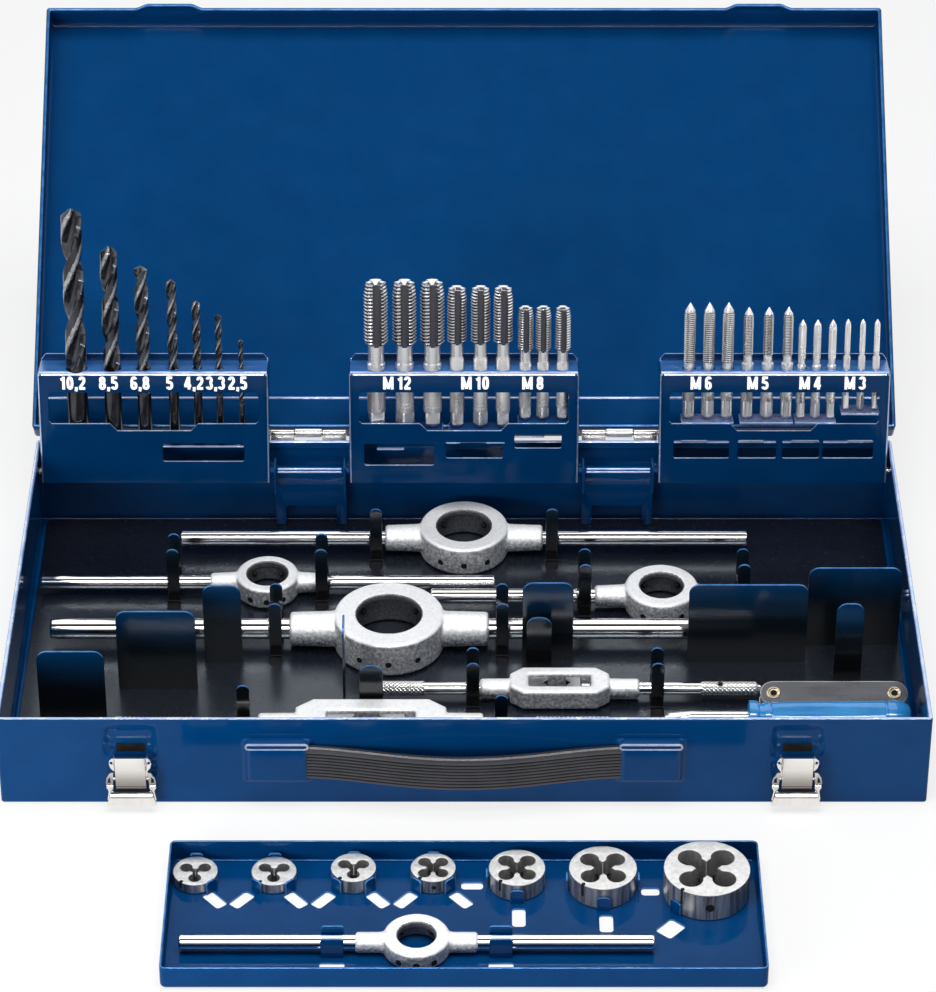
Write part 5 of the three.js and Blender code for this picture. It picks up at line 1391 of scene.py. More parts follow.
# Die stocks
def stock_pieces(name, spec, rest):
    outer, bore, height = spec["outer"] * HALF, spec["bore"] * HALF, spec["height"]
    ledge, lip, eye = 3.4, 0.9, spec["eye"] * HALF
    ring = ring_lathe([
        (bore, 0.0), (outer - lip, 0.0), (outer, lip), (outer, height - lip), (outer - lip, height),
        (eye + 0.6, height), (eye, height - 0.6), (eye, height - ledge), (bore, height - ledge),
    ], 96)
    root = min(spec["end"] + 1.0, height) * HALF
    reach = outer + spec["boss"]
    inner = bore + (outer - bore) * 0.62
    end = spec["end"] * HALF
    profile = [(root + 0.6, inner), (root, outer + 1.5), (end, reach - 0.8), (end - 0.8, reach)]
    boss = lathe(profile, 40).moved(ALONG_X)
    bosses = [boss.shifted(z=height * HALF), boss.mirrored_x().shifted(z=height * HALF)]
    body = remeshed(joined(ring, *bosses), 0.5, 3)
    # the faces inside the bore take the darker cast: painted shade
    marks = []
    for face, normal in zip(body.faces, normals_of(body)):
        middle = body.points[list(face)].mean(axis=0)
        away = math.hypot(middle[0], middle[1])
        inwards = middle[0] * normal[0] + middle[1] * normal[1] < -0.5 * away
        marks.append(1 if inwards and away < bore + 1.0 else 0)
    body = Shape(body.points, body.faces, marks).shifted(spec["x"], spec["y"], rest)
    ride_on = "tray_stock" if name == "tray" else f"{name}_stock"
    piece(f"stock_{name}_ring", body, (CAST_MATERIAL, BORE_SHADE_MATERIAL), ride_on,
          [f"stock_{name}"], 60.0)
    rods = [
        rod_x(spec["x"] + side_low, spec["x"] + side_high, spec["rod"], spec["y"], rest + height * HALF, 1.1)
        for side_low, side_high in ((reach - 3.0, spec["reach"]), (-spec["reach"], 3.0 - reach))
    ]
    piece(f"stock_{name}_rods", joined(*rods), ROD_MATERIAL, ride_on)
    # black discs for the set-screw holes in the ring's side, painted shade, and the screws' dark points in the bore
    details = []
    for degrees in (-90.0, -58.0, -122.0):
        hole = lathe([(1.5, -0.5), (1.5, 0.06)], 20).moved(ALONG_X).shifted(x=outer, z=-height * 0.12)
        tip = lathe([(1.5, 0.0), (1.5, 1.6), (0.3, 2.6)], 20).moved(ALONG_X).mirrored_x().shifted(x=bore + 0.4)
        spun = Matrix.Rotation(rad(degrees), 4, "Z")
        details += [part.moved(spun).shifted(spec["x"], spec["y"], rest + height * HALF) for part in (hole, tip)]
    for degrees in (48.0, 132.0):
        spun = Matrix.Rotation(rad(degrees), 4, "Z")
        tip = lathe([(1.5, 0.0), (1.5, 1.6), (0.3, 2.6)], 20).moved(ALONG_X).mirrored_x().shifted(x=bore + 0.4)
        details.append(tip.moved(spun).shifted(spec["x"], spec["y"], rest + height * HALF))
    piece(f"stock_{name}_screws", joined(*details), HOLLOW_MATERIAL, ride_on)


for stock_name, stock in STOCKS.items():
    stock_pieces(stock_name, stock, 1.3 if stock_name == "tray" else REST)


# Tap wrenches
def vee_plate(low, high, half, vee_at_high, depth, thickness):
    """A jaw with a vee notch in one end."""
    outline = [(low, -half), (high, -half), (high, half), (low, half)]
    if vee_at_high:
        outline[2:2] = [(high, -depth), (high - depth, 0.0), (high, depth)]
    else:
        outline += [(low, depth), (low + depth, 0.0), (low, -depth)]
    return flat_sheet(outline, (), thickness, 0.3)


def wrench_pieces(name, spec):
    body_name = f"{name}_wrench"
    thick, axis_z = spec["thick"], REST + spec["thick"] * HALF
    reach, side, boss = spec["length"] * HALF, spec["width"] * HALF, spec["boss_d"] * HALF
    shoulder_x = reach - side * 0.62
    outline = [(-reach, -side * 0.52), (-shoulder_x, -side), (shoulder_x, -side), (reach, -side * 0.52),
               (reach, side * 0.52), (shoulder_x, side), (-shoulder_x, side), (-reach, side * 0.52)]
    slot = rounded_rectangle(-spec["slot"] * HALF, spec["slot"] * HALF, -spec["slot_w"] * HALF,
                             spec["slot_w"] * HALF, 1.2, 3)
    block = flat_sheet(outline, [slot], thick - 0.4, 1.3)
    profile = [(boss * 0.94, reach - 4.0), (boss * 1.02, reach + 1.5), (boss, reach + spec["boss"] - 1.0),
               (boss - 0.8, reach + spec["boss"])]
    end = lathe(profile, 40).moved(ALONG_X)
    cast = remeshed(joined(block, end, end.mirrored_x()), 0.42, 3)
    cast = cast.shifted(spec["x"], spec["y"], axis_z)
    piece(f"wrench_{name}_casting", cast, CAST_MATERIAL, body_name, [f"wrench_{name}_body"], 60.0)
    start_left = -reach - spec["boss"]
    left_rod = rod_x(-spec["left"] + spec["knurl_run"] - 1.0, start_left + 3.0, spec["rod"], 0.0, 0.0)
    left_grip = knurled_x(-spec["left"], -spec["left"] + spec["knurl_run"], spec["knurl"], 0.0, 0.0)
    piece(f"wrench_{name}_fixed_handle", joined(left_rod, left_grip).shifted(spec["x"], spec["y"], axis_z),
          (ROD_MATERIAL, GROOVE_SHADE_MATERIAL), body_name)
    half = spec["slot_w"] * HALF - 0.15
    fixed = vee_plate(-spec["slot"] * HALF - 0.2, -spec["slot"] * HALF + spec["jaw"], half, True,
                      half * HALF, thick - 4.0)
    piece(f"wrench_{name}_fixed_jaw", fixed.shifted(spec["x"], spec["y"], axis_z), JAW_MATERIAL, body_name,
          (), 30.0, flat=True)
    high = spec["slot"] * HALF - 0.6
    slide = vee_plate(high - spec["slide"], high - 4.2, half, False, half * HALF, thick - 4.0)
    piece(f"wrench_{name}_sliding_jaw", slide.shifted(spec["x"], spec["y"], axis_z), JAW_MATERIAL,
          f"{name}_wrench_jaw", [f"wrench_{name}_jaw"], 30.0, flat=True)
    thread = [(spec["rod"] * HALF * (0.98 if i % 2 else 0.80), high - 4.0 + i * 0.45) for i in range(11)]
    screw = lathe(thread, 32).moved(ALONG_X)
    right_rod = rod_x(reach + spec["boss"] - 3.0, spec["right"] - spec["knurl_run"] + 1.0, spec["rod"], 0.0, 0.0)
    right_grip = knurled_x(spec["right"] - spec["knurl_run"], spec["right"] - 1.6, spec["knurl"], 0.0, 0.0)
    nose = lathe([(spec["knurl"] * 0.40, spec["right"] - 2.0), (spec["knurl"] * 0.24, spec["right"])], 32)
    handle = joined(screw, right_rod, right_grip, nose.moved(ALONG_X))
    piece(f"wrench_{name}_screw", handle.shifted(spec["x"], spec["y"], axis_z), (ROD_MATERIAL, GROOVE_SHADE_MATERIAL),
          f"{name}_wrench_handle", [f"wrench_{name}_handle"])
    # a black disc for the cross hole: painted shade
    hole = lathe([(1.25, 0.0), (1.25, 0.4)], 20).shifted(
        spec["x"] + spec["right"] - spec["knurl_run"] * 0.68, spec["y"] - 1.0, axis_z + spec["knurl"] * HALF - 0.45)
    piece(f"wrench_{name}_cross_hole", hole, HOLLOW_MATERIAL, f"{name}_wrench_handle")


for wrench_name, wrench in WRENCHES.items():
    wrench_pieces(wrench_name, wrench)


# Screw pitch gauge and screwdriver
GAUGE = {"length": 68.6, "width": 12.4, "thick": 9.0, "plate": 1.0, "inset": 6.2, "eye": 3.3, "bore": 2.1}
GAUGE_FRAME = Matrix.Translation((172.0, -45.5, 9.21)) @ Matrix.Rotation(rad(25.0), 4, "X")


def gauge_pieces():
    reach, half = GAUGE["length"] * HALF, GAUGE["width"] * HALF
    top, eye_x = GAUGE["thick"] * HALF, reach - GAUGE["inset"]
    holes = [circle_outline(side * eye_x, 0.0, GAUGE["bore"], 24) for side in (-1, 1)]
    plate = flat_sheet(stadium(reach, half), holes, GAUGE["plate"], 0.25)
    plates = joined(plate.shifted(z=top - HALF), plate.shifted(z=-top + HALF))
    piece("gauge_side_plates", plates.moved(GAUGE_FRAME), (GAUGE_MATERIAL, TAP_MATERIAL), "gauge",
          ["gauge_case"], 30.0, flat=True)
    eye = ring_lathe([(GAUGE["bore"] - 0.1, top - 1.2), (GAUGE["bore"] - 0.1, top + 0.2), (GAUGE["bore"] + 0.4, top + 0.6),
                      (GAUGE["eye"] - 0.4, top + 0.6), (GAUGE["eye"], top + 0.2), (GAUGE["eye"], top - 0.2)], 40)
    tube = ring_lathe([(GAUGE["bore"] - 0.5, -top), (GAUGE["bore"] - 0.5, top), (GAUGE["bore"], top),
                       (GAUGE["bore"], -top)], 32)
    eyes = [part.shifted(x=side * eye_x) for side in (-1, 1) for part in (eye, tube)]
    piece("gauge_eyelets", joined(*eyes).moved(GAUGE_FRAME), BRASS_MATERIAL, "gauge")
    # black plugs in the eyelets' bores: painted shade
    plug = lathe([(GAUGE["bore"] - 0.15, -top + 0.6), (GAUGE["bore"] - 0.15, top - 1.3)], 32)
    plugs = joined(plug.shifted(x=eye_x), plug.shifted(x=-eye_x))
    piece("gauge_eyelet_holes", plugs.moved(GAUGE_FRAME), HOLLOW_MATERIAL, "gauge")
    leaves = []
    inner_half = half - 1.0
    for index in range(8):
        z = -2.6 + index * 0.75
        teeth = []
        pitch = 0.9 + 0.12 * index
        low, high = -eye_x + 6.0, eye_x - 4.5 - (index % 3) * 1.2
        count = int((high - low) / pitch)
        for tooth in range(count):
            teeth += [(low + tooth * pitch, -inner_half), (low + (tooth + HALF) * pitch, -inner_half + 0.6)]
        outline = teeth + [(high, -inner_half), (high, inner_half - 1.0)]
        outline += arc(-eye_x, 0.0, inner_half - 0.2, 90, 270, 8)
        leaves.append(flat_sheet(outline, (), 0.5, 0.06).shifted(z=z))
    piece("gauge_leaf_set", joined(*leaves).moved(GAUGE_FRAME), TAP_MATERIAL, "gauge_leaf_pack",
          ["gauge_leaves"], 30.0, flat=True)
    finger = [(-33.0, -5.6), (-29.0, -5.9), (-24.5, -6.4), (-20.0, -6.3), (-17.0, -5.0), (-15.0, -5.0),
              (-17.4, -7.0), (-21.0, -7.6), (-26.0, -7.3), (-30.0, -7.0), (-33.4, -6.4)]
    bent = flat_sheet(finger, (), 0.8, 0.1).shifted(z=top - 1.9)
    piece("gauge_finger_leaf", bent.moved(GAUGE_FRAME), NICKEL_MATERIAL, "gauge_leaf_pack")


gauge_pieces()

DRIVER = {"low": 131.0, "high": 207.0, "y": -61.2, "z": 10.3, "blade": 5.0, "tip": 93.0}


def driver_pieces():
    low, high = DRIVER["low"], DRIVER["high"]
    profile = [
        (3.2, 0.0), (5.6, 0.2), (7.1, 0.8), (7.3, 1.6), (7.3, 3.9), (6.9, 4.8), (5.9, 5.6), (5.7, 6.6), (6.2, 7.6),
        (6.6, 8.4), (6.7, 10.0), (5.7, 10.25), (5.7, 11.0), (6.8, 11.2), (7.1, 14.0), (7.3, 20.0), (7.4, 36.0), (7.4, 52.0), (7.3, 63.4),
        (6.6, 63.7), (6.6, 64.4), (7.2, 64.7), (7.3, 68.0), (6.9, 71.6), (5.8, 74.2), (4.0, 75.6), (1.2, 76.0),
    ]
    angles = np.arange(72) * FULL_TURN / 72
    radii, runs = [], []
    for radius, run in profile:
        grooved = 0.045 * radius * plateau(run, 12.0, 62.5, 2.0)
        radii.append(radius - grooved * (1 + np.cos(angles * 6)))
        runs.append(run)
    handle = round_shape(radii, runs, angles).moved(ALONG_X).shifted(low, DRIVER["y"], DRIVER["z"])
    piece("screwdriver_grip", handle, PLASTIC_MATERIAL, "screwdriver",
          ["screwdriver_handle"], 30.0)
    half = DRIVER["blade"] * HALF
    start = DRIVER["tip"]
    sides = 24
    turns = np.arange(sides) * FULL_TURN / sides
    rows = []
    for run, wide, tall in ((0.0, 0.86, 0.22), (3.0, 0.9, 0.32), (9.0, 0.98, 0.72), (12.5, 1.0, 1.0),
                            (low + 4.0 - start, 1.0, 1.0)):
        # the tip is flattened between superellipse and circle
        power = 0.55 if tall < 0.99 else 1.0
        c, s = np.cos(turns), np.sin(turns)
        rows.append(np.column_stack([
            np.full(sides, start + run), np.sign(c) * np.abs(c) ** power * half * wide,
            np.sign(s) * np.abs(s) ** power * half * tall,
        ]))
    blade = grid(rows, start_cap=True, end_cap=True).shifted(y=DRIVER["y"], z=DRIVER["z"])
    piece("screwdriver_shaft", blade, ROD_MATERIAL, "screwdriver", ["screwdriver_blade"], 30.0)


driver_pieces()


# Draw latches
LATCH = {"x": 150.0, "y": -116.75, "axis": 27.5, "lower": 13.5, "half": 6.9, "lever": 11.2}


def latch_pieces(side, x):
    y = LATCH["y"]
    low, high = LATCH["lower"], LATCH["axis"]
    base = [(-HALF_DEPTH - 1.2, 15.5), (-HALF_DEPTH - 1.2, 21.0), (-HALF_DEPTH - 1.0, 27.0)]
    half = LATCH["half"]
    foot = ribbon(base, half + 0.6, 1.0)
    ears = []
    for hand in (-1, 1):
        outline = [(half + 0.2, 29.8), (half + 1.2, 29.8), (half + 2.4, 28.8), (half + 2.7, 26.8),
                   (half + 2.1, 24.4), (half + 0.9, 22.8), (half + 0.2, 22.7)]
        hole = circle_outline(half + 1.35, 27.3, 0.8, 18)
        ear = flat_sheet([(hand * u, v) for u, v in outline], [[(hand * u, v) for u, v in hole]], 1.0, 0.25)
        ears.append(ear.reordered(0, -3, 1).shifted(y=y - 0.4))
        side_sheet = flat_sheet(rounded_rectangle(y - 0.3, -HALF_DEPTH - 0.6, 24.0, 29.6, 0.6, 3), (), 0.8, 0.2)
        ears.append(side_sheet.reordered(2, 0, 1).shifted(x=hand * (half + 0.7)))
    piece(f"latch_{side}_foot", joined(foot, *ears).shifted(x=x), NICKEL_MATERIAL, "case",
          [f"latch_{side}_base"], 40.0)
    # the plate bows out a little between its pin and the lever's
    path = [(y - 1.3 - 0.5 * math.sin(math.pi * s), high + 3.0 - s * (high + 1.6 - low))
            for s in np.linspace(0.0, 1.0, 14)]
    plate = ribbon(path, half, 1.0, 0.4)
    roll = rod_x(-half, half, 2.4, y, high, 0.5)
    guards = []
    for hand in (-1, 1):
        # the plate's side arms swell round the lever's pin
        outline = [(7.7, 22.2), (9.4, 21.9), (10.9, 19.4), (11.4, 16.8), (11.3, 15.3), (8.0, 15.3)]
        slot = [(9.3, 19.6), (10.2, 18.4), (10.4, 16.6), (9.2, 16.6)]
        guards.append(flat_sheet([(hand * u, v) for u, v in outline], [[(hand * u, v) for u, v in slot]], 1.2, 0.3)
                      .reordered(0, -3, 1).shifted(y=y - 0.9))
        guards.append(rod_x(*sorted((hand * (half - 0.4), hand * 8.4)), 1.6, y - 0.9, 18.6, 0.3))
    lower_roll = rod_x(-half, half, 2.6, y, low, 0.3)
    piece(f"latch_{side}_link", joined(plate, roll, *guards, lower_roll).shifted(x=x), LATCH_SHADED_MATERIAL,
          f"{side}_latch_plate", [f"latch_{side}_plate"], 40.0)
    lever_path = [(y - 1.2, 11.0), (y - 2.6, 10.4), (y - 3.1, 9.4), (y - 2.5, 8.3), (y - 2.2, 7.0),
                  (y - 2.6, 5.6), (y - 2.4, 4.6), (y - 1.4, 3.9), (y - 0.2, 4.0)]
    lever_widths = [9.4, 9.7, 10.0, 10.2, 10.6, LATCH["lever"], LATCH["lever"], LATCH["lever"], 10.9]
    lip = ribbon(lever_path, lever_widths, 1.1, 0.45)
    # a black strip in the gap under the plate's end: painted shadow
    shadow_gap = ribbon([(y - 1.3, 12.0), (y - 1.5, 11.3)], 8.0, 0.8, 0.2)
    arms = []
    for hand in (-1, 1):
        # a side arm runs from its pin down into the lip
        outline = [(8.1, 13.6), (11.1, 13.6), (10.4, 11.0), (11.1, 6.6), (10.6, 4.6), (8.8, 4.6), (8.9, 9.0)]
        arms.append(flat_sheet([(hand * u, v) for u, v in outline], (), 1.2, 0.4)
                    .reordered(0, -3, 1).shifted(y=y - 0.4))
        arms.append(rod_x(*sorted((hand * 8.0, hand * 11.2)), 2.8, y, low, 0.4))
    piece(f"latch_{side}_finger", joined(lip, *arms).shifted(x=x), NICKEL_MATERIAL,
          f"{side}_latch_lever", [f"latch_{side}_lever"], 40.0)
    piece(f"latch_{side}_gap", shadow_gap.shifted(x=x), HOLLOW_MATERIAL, f"{side}_latch_lever")


for latch_side, latch_x in (("left", -LATCH["x"]), ("right", LATCH["x"])):
    latch_pieces(latch_side, latch_x)
    # a black sheet in the recess above each plate: painted shadow
    recess_shadow_sheet = flat_sheet(rounded_rectangle(-6.6, 6.6, -2.6, 2.6, 0.8, 4), (), 0.4, 0.1).reordered(0, -3, 1)
    piece(f"recess_{latch_side}_slot", recess_shadow_sheet.shifted(latch_x, -HALF_DEPTH + RECESS["depth"] - 0.1, 30.6),
          HOLLOW_MATERIAL, "case")


# Strap handle: a ribbed rubber strap that bows outwards between its bulges
STRAP = {"low": 16.0, "high": 34.0, "thick": 2.6, "bow": 7.0, "end": 93.0, "open": 70.0, "back": -112.3,
         "grooves": 8, "groove_depth": 0.75, "top_rib": 3.6}


def strap_section():
    """(out, z) points round the strap's section, grooved on its outer face."""
    low, high, thick = STRAP["low"], STRAP["high"], STRAP["thick"]
    points = [(0.0, high - 0.6), (0.0, low + 0.6), (0.6, low), (thick - 0.7, low), (thick - 0.1, low + 0.5)]
    pitch = (high - STRAP["top_rib"] - low - 0.5) / STRAP["grooves"]
    for index in range(STRAP["grooves"]):
        z = low + 0.5 + (index + 1) * pitch
        points += [(thick, z - pitch * 0.62), (thick, z - pitch * 0.34),
                   (thick - STRAP["groove_depth"], z - pitch * 0.22),
                   (thick - STRAP["groove_depth"], z - pitch * 0.06), (thick - 0.1, z)]
    points += [(thick + 0.15, high - STRAP["top_rib"] + 0.5), (thick + 0.15, high - 0.7), (thick - 0.5, high)]
    return points + [(0.6, high)]


def strap_piece():
    xs = np.concatenate([[-STRAP["end"]], np.linspace(-STRAP["open"], STRAP["open"], 57), [STRAP["end"]]])
    section = strap_section()
    rows = []
    for x in xs:
        share = min(abs(x) / STRAP["open"], 1.0)
        bow = STRAP["bow"] * (1 - share ** 2) ** 2
        sag = 1.3 * (1 - share ** 2)
        rows.append([(x, STRAP["back"] - bow - out, z - sag) for out, z in section])
    shape = grid(rows, start_cap=True, end_cap=True)
    piece("handle_strap_ribbed", shape, STRAP_MATERIAL, "strap", ["handle_strap"], 30.0)


strap_piece()


# Brackets and the racks' outer pins stay as the frame's own solids, with round edges; the hinges are drawn anew
def dress(node, material, width, segments=3, angle=30.0):
    solid = bpy.data.objects[node]
    weld = solid.modifiers.new("weld", "WELD")
    weld.merge_threshold = 0.00001
    bevel = solid.modifiers.new("round", "BEVEL")
    bevel.width = width * MM
    bevel.segments = segments
    bevel.limit_method = "ANGLE"
    bevel.angle_limit = rad(angle)
    bevel.harden_normals = True
    for polygon in solid.data.polygons:
        polygon.use_smooth = True
    for index in range(max(len(solid.data.materials), 1)):
        if len(solid.data.materials) > index:
            solid.data.materials[index] = material
        else:
            solid.data.materials.append(material)


HINGE = {"x": 76.5, "y": 114.8, "z": 50.0, "half": 18.6, "centre": 6.7, "knuckle": 4.6, "neck": 3.4}


def hinge_pieces(hand, x):
    y, z, half, centre = HINGE["y"], HINGE["z"], HINGE["half"], HINGE["centre"]
    # the base leaf: two slim knuckles, and a flange turned forwards over the case's rim
    knuckles = [rod_x(low, high, HINGE["neck"], y, z, 0.4) for low, high in ((-half, -centre - 0.2), (centre + 0.2, half))]
    flange = []
    for low, high in ((-half, -centre - 0.2), (centre + 0.2, half)):
        strip = ribbon([(y + 0.6, z - 0.6), (y - 0.8, z - 1.9), (y - 2.4, z - 2.4), (y - 3.6, z - 3.4), (y - 3.8, z - 5.2)],
                       (high - low) * HALF, 0.9, 0.3)
        flange.append(strip.shifted(x=(low + high) * HALF))
    piece(f"hinge_{hand}_base_wings", joined(*knuckles, *flange).shifted(x=x), NICKEL_MATERIAL, "case",
          [f"hinge_{hand}_base_leaf", f"hinge_{hand}_pin"], 40.0)
    # the lid leaf: a wide knuckle, and its plate up the lid's rear wall
    knuckle = rod_x(-centre, centre, HINGE["knuckle"], y, z, 0.5)
    plate = ribbon([(-2.0, 0.6), (-2.5, 1.4), (-2.55, 3.0), (-2.55, 5.6)], centre, 0.9, 0.3)
    plate = plate.moved(LID_FRAME)
    piece(f"hinge_{hand}_lid_knuckle", joined(knuckle, plate).shifted(x=x), NICKEL_MATERIAL, "lid",
          [f"hinge_{hand}_lid_leaf"], 40.0)


def bracket_fold(hand, x):
    """Two fine rolled lines in the edge's painted highlight along the top fold of a bracket."""
    low, high = box_of(f"rack_bracket_{hand}")
    front, top = low[1], high[2]
    highlight_rolls = [rod_x(x - 15.6, x + 15.6, 1.1, front + 0.25 - step * 0.35, top - 0.5 - step * 1.5, 0.3, 20)
             for step in (0, 1)]
    piece(f"bracket_{hand}_fold", joined(*highlight_rolls), EDGE_HIGHLIGHT_MATERIAL, "case")


for hand, side in (("left", -1), ("right", 1)):
    hinge_pieces(hand, side * HINGE["x"])
    dress(f"rack_bracket_{hand}", PAINT_MATERIAL, 0.9, 5)
    dress(f"rack_outer_pin_{hand}", NICKEL_MATERIAL, 0.3)
    bracket_fold(hand, side * 75.5)


# Die tray and round dies
TRAY = {"half": 130.5, "front": -239.0, "rear": -153.0, "height": 12.0, "radius": 2.2}
DIE_TAB = {"half": 3.0, "height": 7.2, "thickness": 1.0, "gap": 0.3}
# Slots seen in the tray's floor: (x, y, degrees, length, width)
TRAY_SLOTS = [
    (-109.7, -181.0, -50.0, 11.6, 5.8), (-97.8, -181.0, 50.0, 11.6, 5.8),
    (-74.0, -181.0, -50.0, 11.6, 5.8), (-61.9, -181.0, 50.0, 11.6, 5.8),
    (-37.8, -181.0, -50.0, 11.6, 5.8), (-25.7, -181.0, 50.0, 11.6, 5.8),
    (-1.3, -181.0, -50.0, 11.6, 5.8), (3.6, -171.4, 0.0, 9.6, 5.0),
    (24.0, -193.0, 90.0, 12.2, 5.9), (62.2, -197.0, 90.0, 11.4, 6.0),
    (82.2, -175.4, 0.0, 8.0, 5.2), (90.2, -200.4, 48.0, 11.0, 8.6),
]
CRADLES = {"x": (-57.0, 16.0), "half": 5.0, "gap": 3.8, "y": -215.0}


def die_spec(x, outer, height, thread, pitch, lobes, tabs, dimple):
    return {"x": x, "y": -157.4 - outer * HALF, "outer": outer, "height": height, "thread": thread,
            "pitch": pitch, "lobes": lobes, "tabs": tabs, "dimple": dimple}


DIES = {
    "die_m3": die_spec(-118.8, 20.0, 5.0, 3.0, 0.5, 3, (90, -47), False),
    "die_m4": die_spec(-84.0, 20.0, 5.0, 4.0, 0.7, 3, (90, -47, -133), False),
    "die_m5": die_spec(-48.8, 20.0, 7.0, 5.0, 0.8, 3, (90, -47, -133), False),
    "die_m6": die_spec(-13.6, 20.0, 7.0, 6.0, 1.0, 4, (90, -47, -133), True),
    "die_m8": die_spec(23.4, 25.0, 9.0, 8.0, 1.25, 4, (90, 180, -90), False),
    "die_m10": die_spec(61.2, 30.0, 11.0, 10.0, 1.5, 4, (0, 180, -90), False),
    "die_m12": die_spec(106.7, 38.0, 14.0, 12.0, 1.75, 4, (90, -135), True),
}


def turned_box(centre, degrees, low, high, half, radius):
    """A rounded slot outline that runs outwards from a centre."""
    outline = rounded_rectangle(low, high, -half, half, radius, 4)
    c, s = math.cos(rad(degrees)), math.sin(rad(degrees))
    return [(centre[0] + u * c - v * s, centre[1] + u * s + v * c) for u, v in outline]


def tray_pieces():
    half, front, rear, radius = TRAY["half"], TRAY["front"], TRAY["rear"], TRAY["radius"]
    rows = fillet_rows(radius)
    rows += [(0.0, 5.0), (0.0, 9.0)]
    crown_start = len(rows)
    rows += crown_rows(SHEET * HALF, TRAY["height"], 6)
    crown = range(crown_start + 1, len(rows) - 2)
    rows += [(SHEET, 9.0), (SHEET, 5.0)]
    rows += [(SHEET + inset, SHEET + height) for inset, height in reversed(fillet_rows(radius - SHEET))]
    inner = SHEET + radius - SHEET
    rings = []
    for inset, z in rows:
        ring = rounded_ring(half - inset, front + inset, rear - inset, max(2.6 - inset, 0.4),
                            np.linspace(-half + 6, half - 6, 9))
        rings.append([(x, y, z) for x, y in ring])
    wall = grid(rings, loop=True, edge_rows=crown)
    slots, tabs = [], []
    for die in DIES.values():
        centre = (die["x"], die["y"])
        face = die["outer"] * HALF + DIE_TAB["gap"]
        for degrees in die["tabs"]:
            height = DIE_TAB["height"] if die["height"] > 5 else 6.4
            corner = 1.6
            outline = [(-DIE_TAB["half"], -0.5), (DIE_TAB["half"], -0.5)]
            outline += arc(DIE_TAB["half"] - corner, height - corner, corner, 0, 90, 4)
            outline += arc(-DIE_TAB["half"] + corner, height - corner, corner, 90, 180, 4)
            tab = flat_sheet(outline, (), DIE_TAB["thickness"], 0.25).reordered(0, -3, 1)
            spun = Matrix.Rotation(rad(degrees + 90.0), 4, "Z")
            tab = tab.shifted(y=-face - DIE_TAB["thickness"] * HALF).moved(spun)
            tabs.append(tab.shifted(*centre, SHEET))
    slots += [turned_box((x, y), degrees, -length * HALF, length * HALF, width * HALF, 1.5)
              for x, y, degrees, length, width in TRAY_SLOTS]
    cradle_tabs = []
    for x in CRADLES["x"]:
        for facing in (-1, 1):
            y = CRADLES["y"] + facing * (CRADLES["gap"] + HALF)
            top = TRAY["height"] - 0.6
            outline = [(-CRADLES["half"], -0.5), (CRADLES["half"], -0.5)]
            outline += arc(CRADLES["half"] - 1.2, top - SHEET - 1.2, 1.2, 0, 90, 3)
            outline += arc(-CRADLES["half"] + 1.2, top - SHEET - 1.2, 1.2, 90, 180, 3)
            cradle_tabs.append(flat_sheet(outline, (), SHEET, 0.25).reordered(0, -3, 1).shifted(x, y, SHEET))
        low = CRADLES["y"] - CRADLES["gap"] - 10.6
        slots.append(rounded_rectangle(x - CRADLES["half"] - 0.4, x + CRADLES["half"] + 0.4, low, low + 6.4, 0.8, 3))
    outline = rounded_rectangle(-half + inner, half - inner, front + inner, rear - inner, 0.6, 3)
    floor = flat_sheet(outline, slots, SHEET, 0.1).shifted(z=SHEET * HALF)
    upper = edges_upward(joined(*cradle_tabs), 0.2)
    # the rim's crown and the sheets' cut edges take the rim's painted highlight
    piece("tray_pan", joined(wall, floor, *tabs, upper), (TRAY_MATERIAL, RIM_HIGHLIGHT_MATERIAL), "tray",
          ["die_tray"], 30.0, flat=True)
    # a light line along the floor's rear fold: painted highlight
    fold_highlight = rod_x(-half + 3.0, half - 3.0, 0.7, rear - SHEET - 0.5, SHEET + 0.5, 0.2, 16)
    piece("tray_fold_highlight", fold_highlight, RIM_HIGHLIGHT_MATERIAL, "tray")


tray_pieces()


def clover(die, thread_radius):
    """Outline of a die's opening: a threaded hole with clearance holes round it."""
    radius = die["outer"] * HALF
    lobes = die["lobes"]
    ring, lobe = (0.47 * radius, 0.27 * radius) if lobes == 3 else (0.54 * radius, 0.275 * radius)
    first = -90.0 if lobes == 3 else 45.0
    neck = min(lobe * 0.62, thread_radius * 0.75)
    outline = []
    for index in range(lobes):
        middle = first + index * 360.0 / lobes
        half_neck = math.degrees(math.asin(neck / thread_radius))
        half_lobe = 180.0 - math.degrees(math.asin(neck / lobe))
        c, s = math.cos(rad(middle)), math.sin(rad(middle))
        # in the lobe's own frame, x runs outwards
        local = [(thread_radius * math.cos(rad(half_neck)), -neck)]
        local += arc(ring, 0.0, lobe, -half_lobe, half_lobe, 16)
        local += [(thread_radius * math.cos(rad(half_neck)), neck)]
        outline += [(u * c - v * s, u * s + v * c) for u, v in local]
        following = middle + 360.0 / lobes
        outline += arc(0.0, 0.0, thread_radius, middle + half_neck, following - half_neck, 6)[1:-1]
    return outline, neck


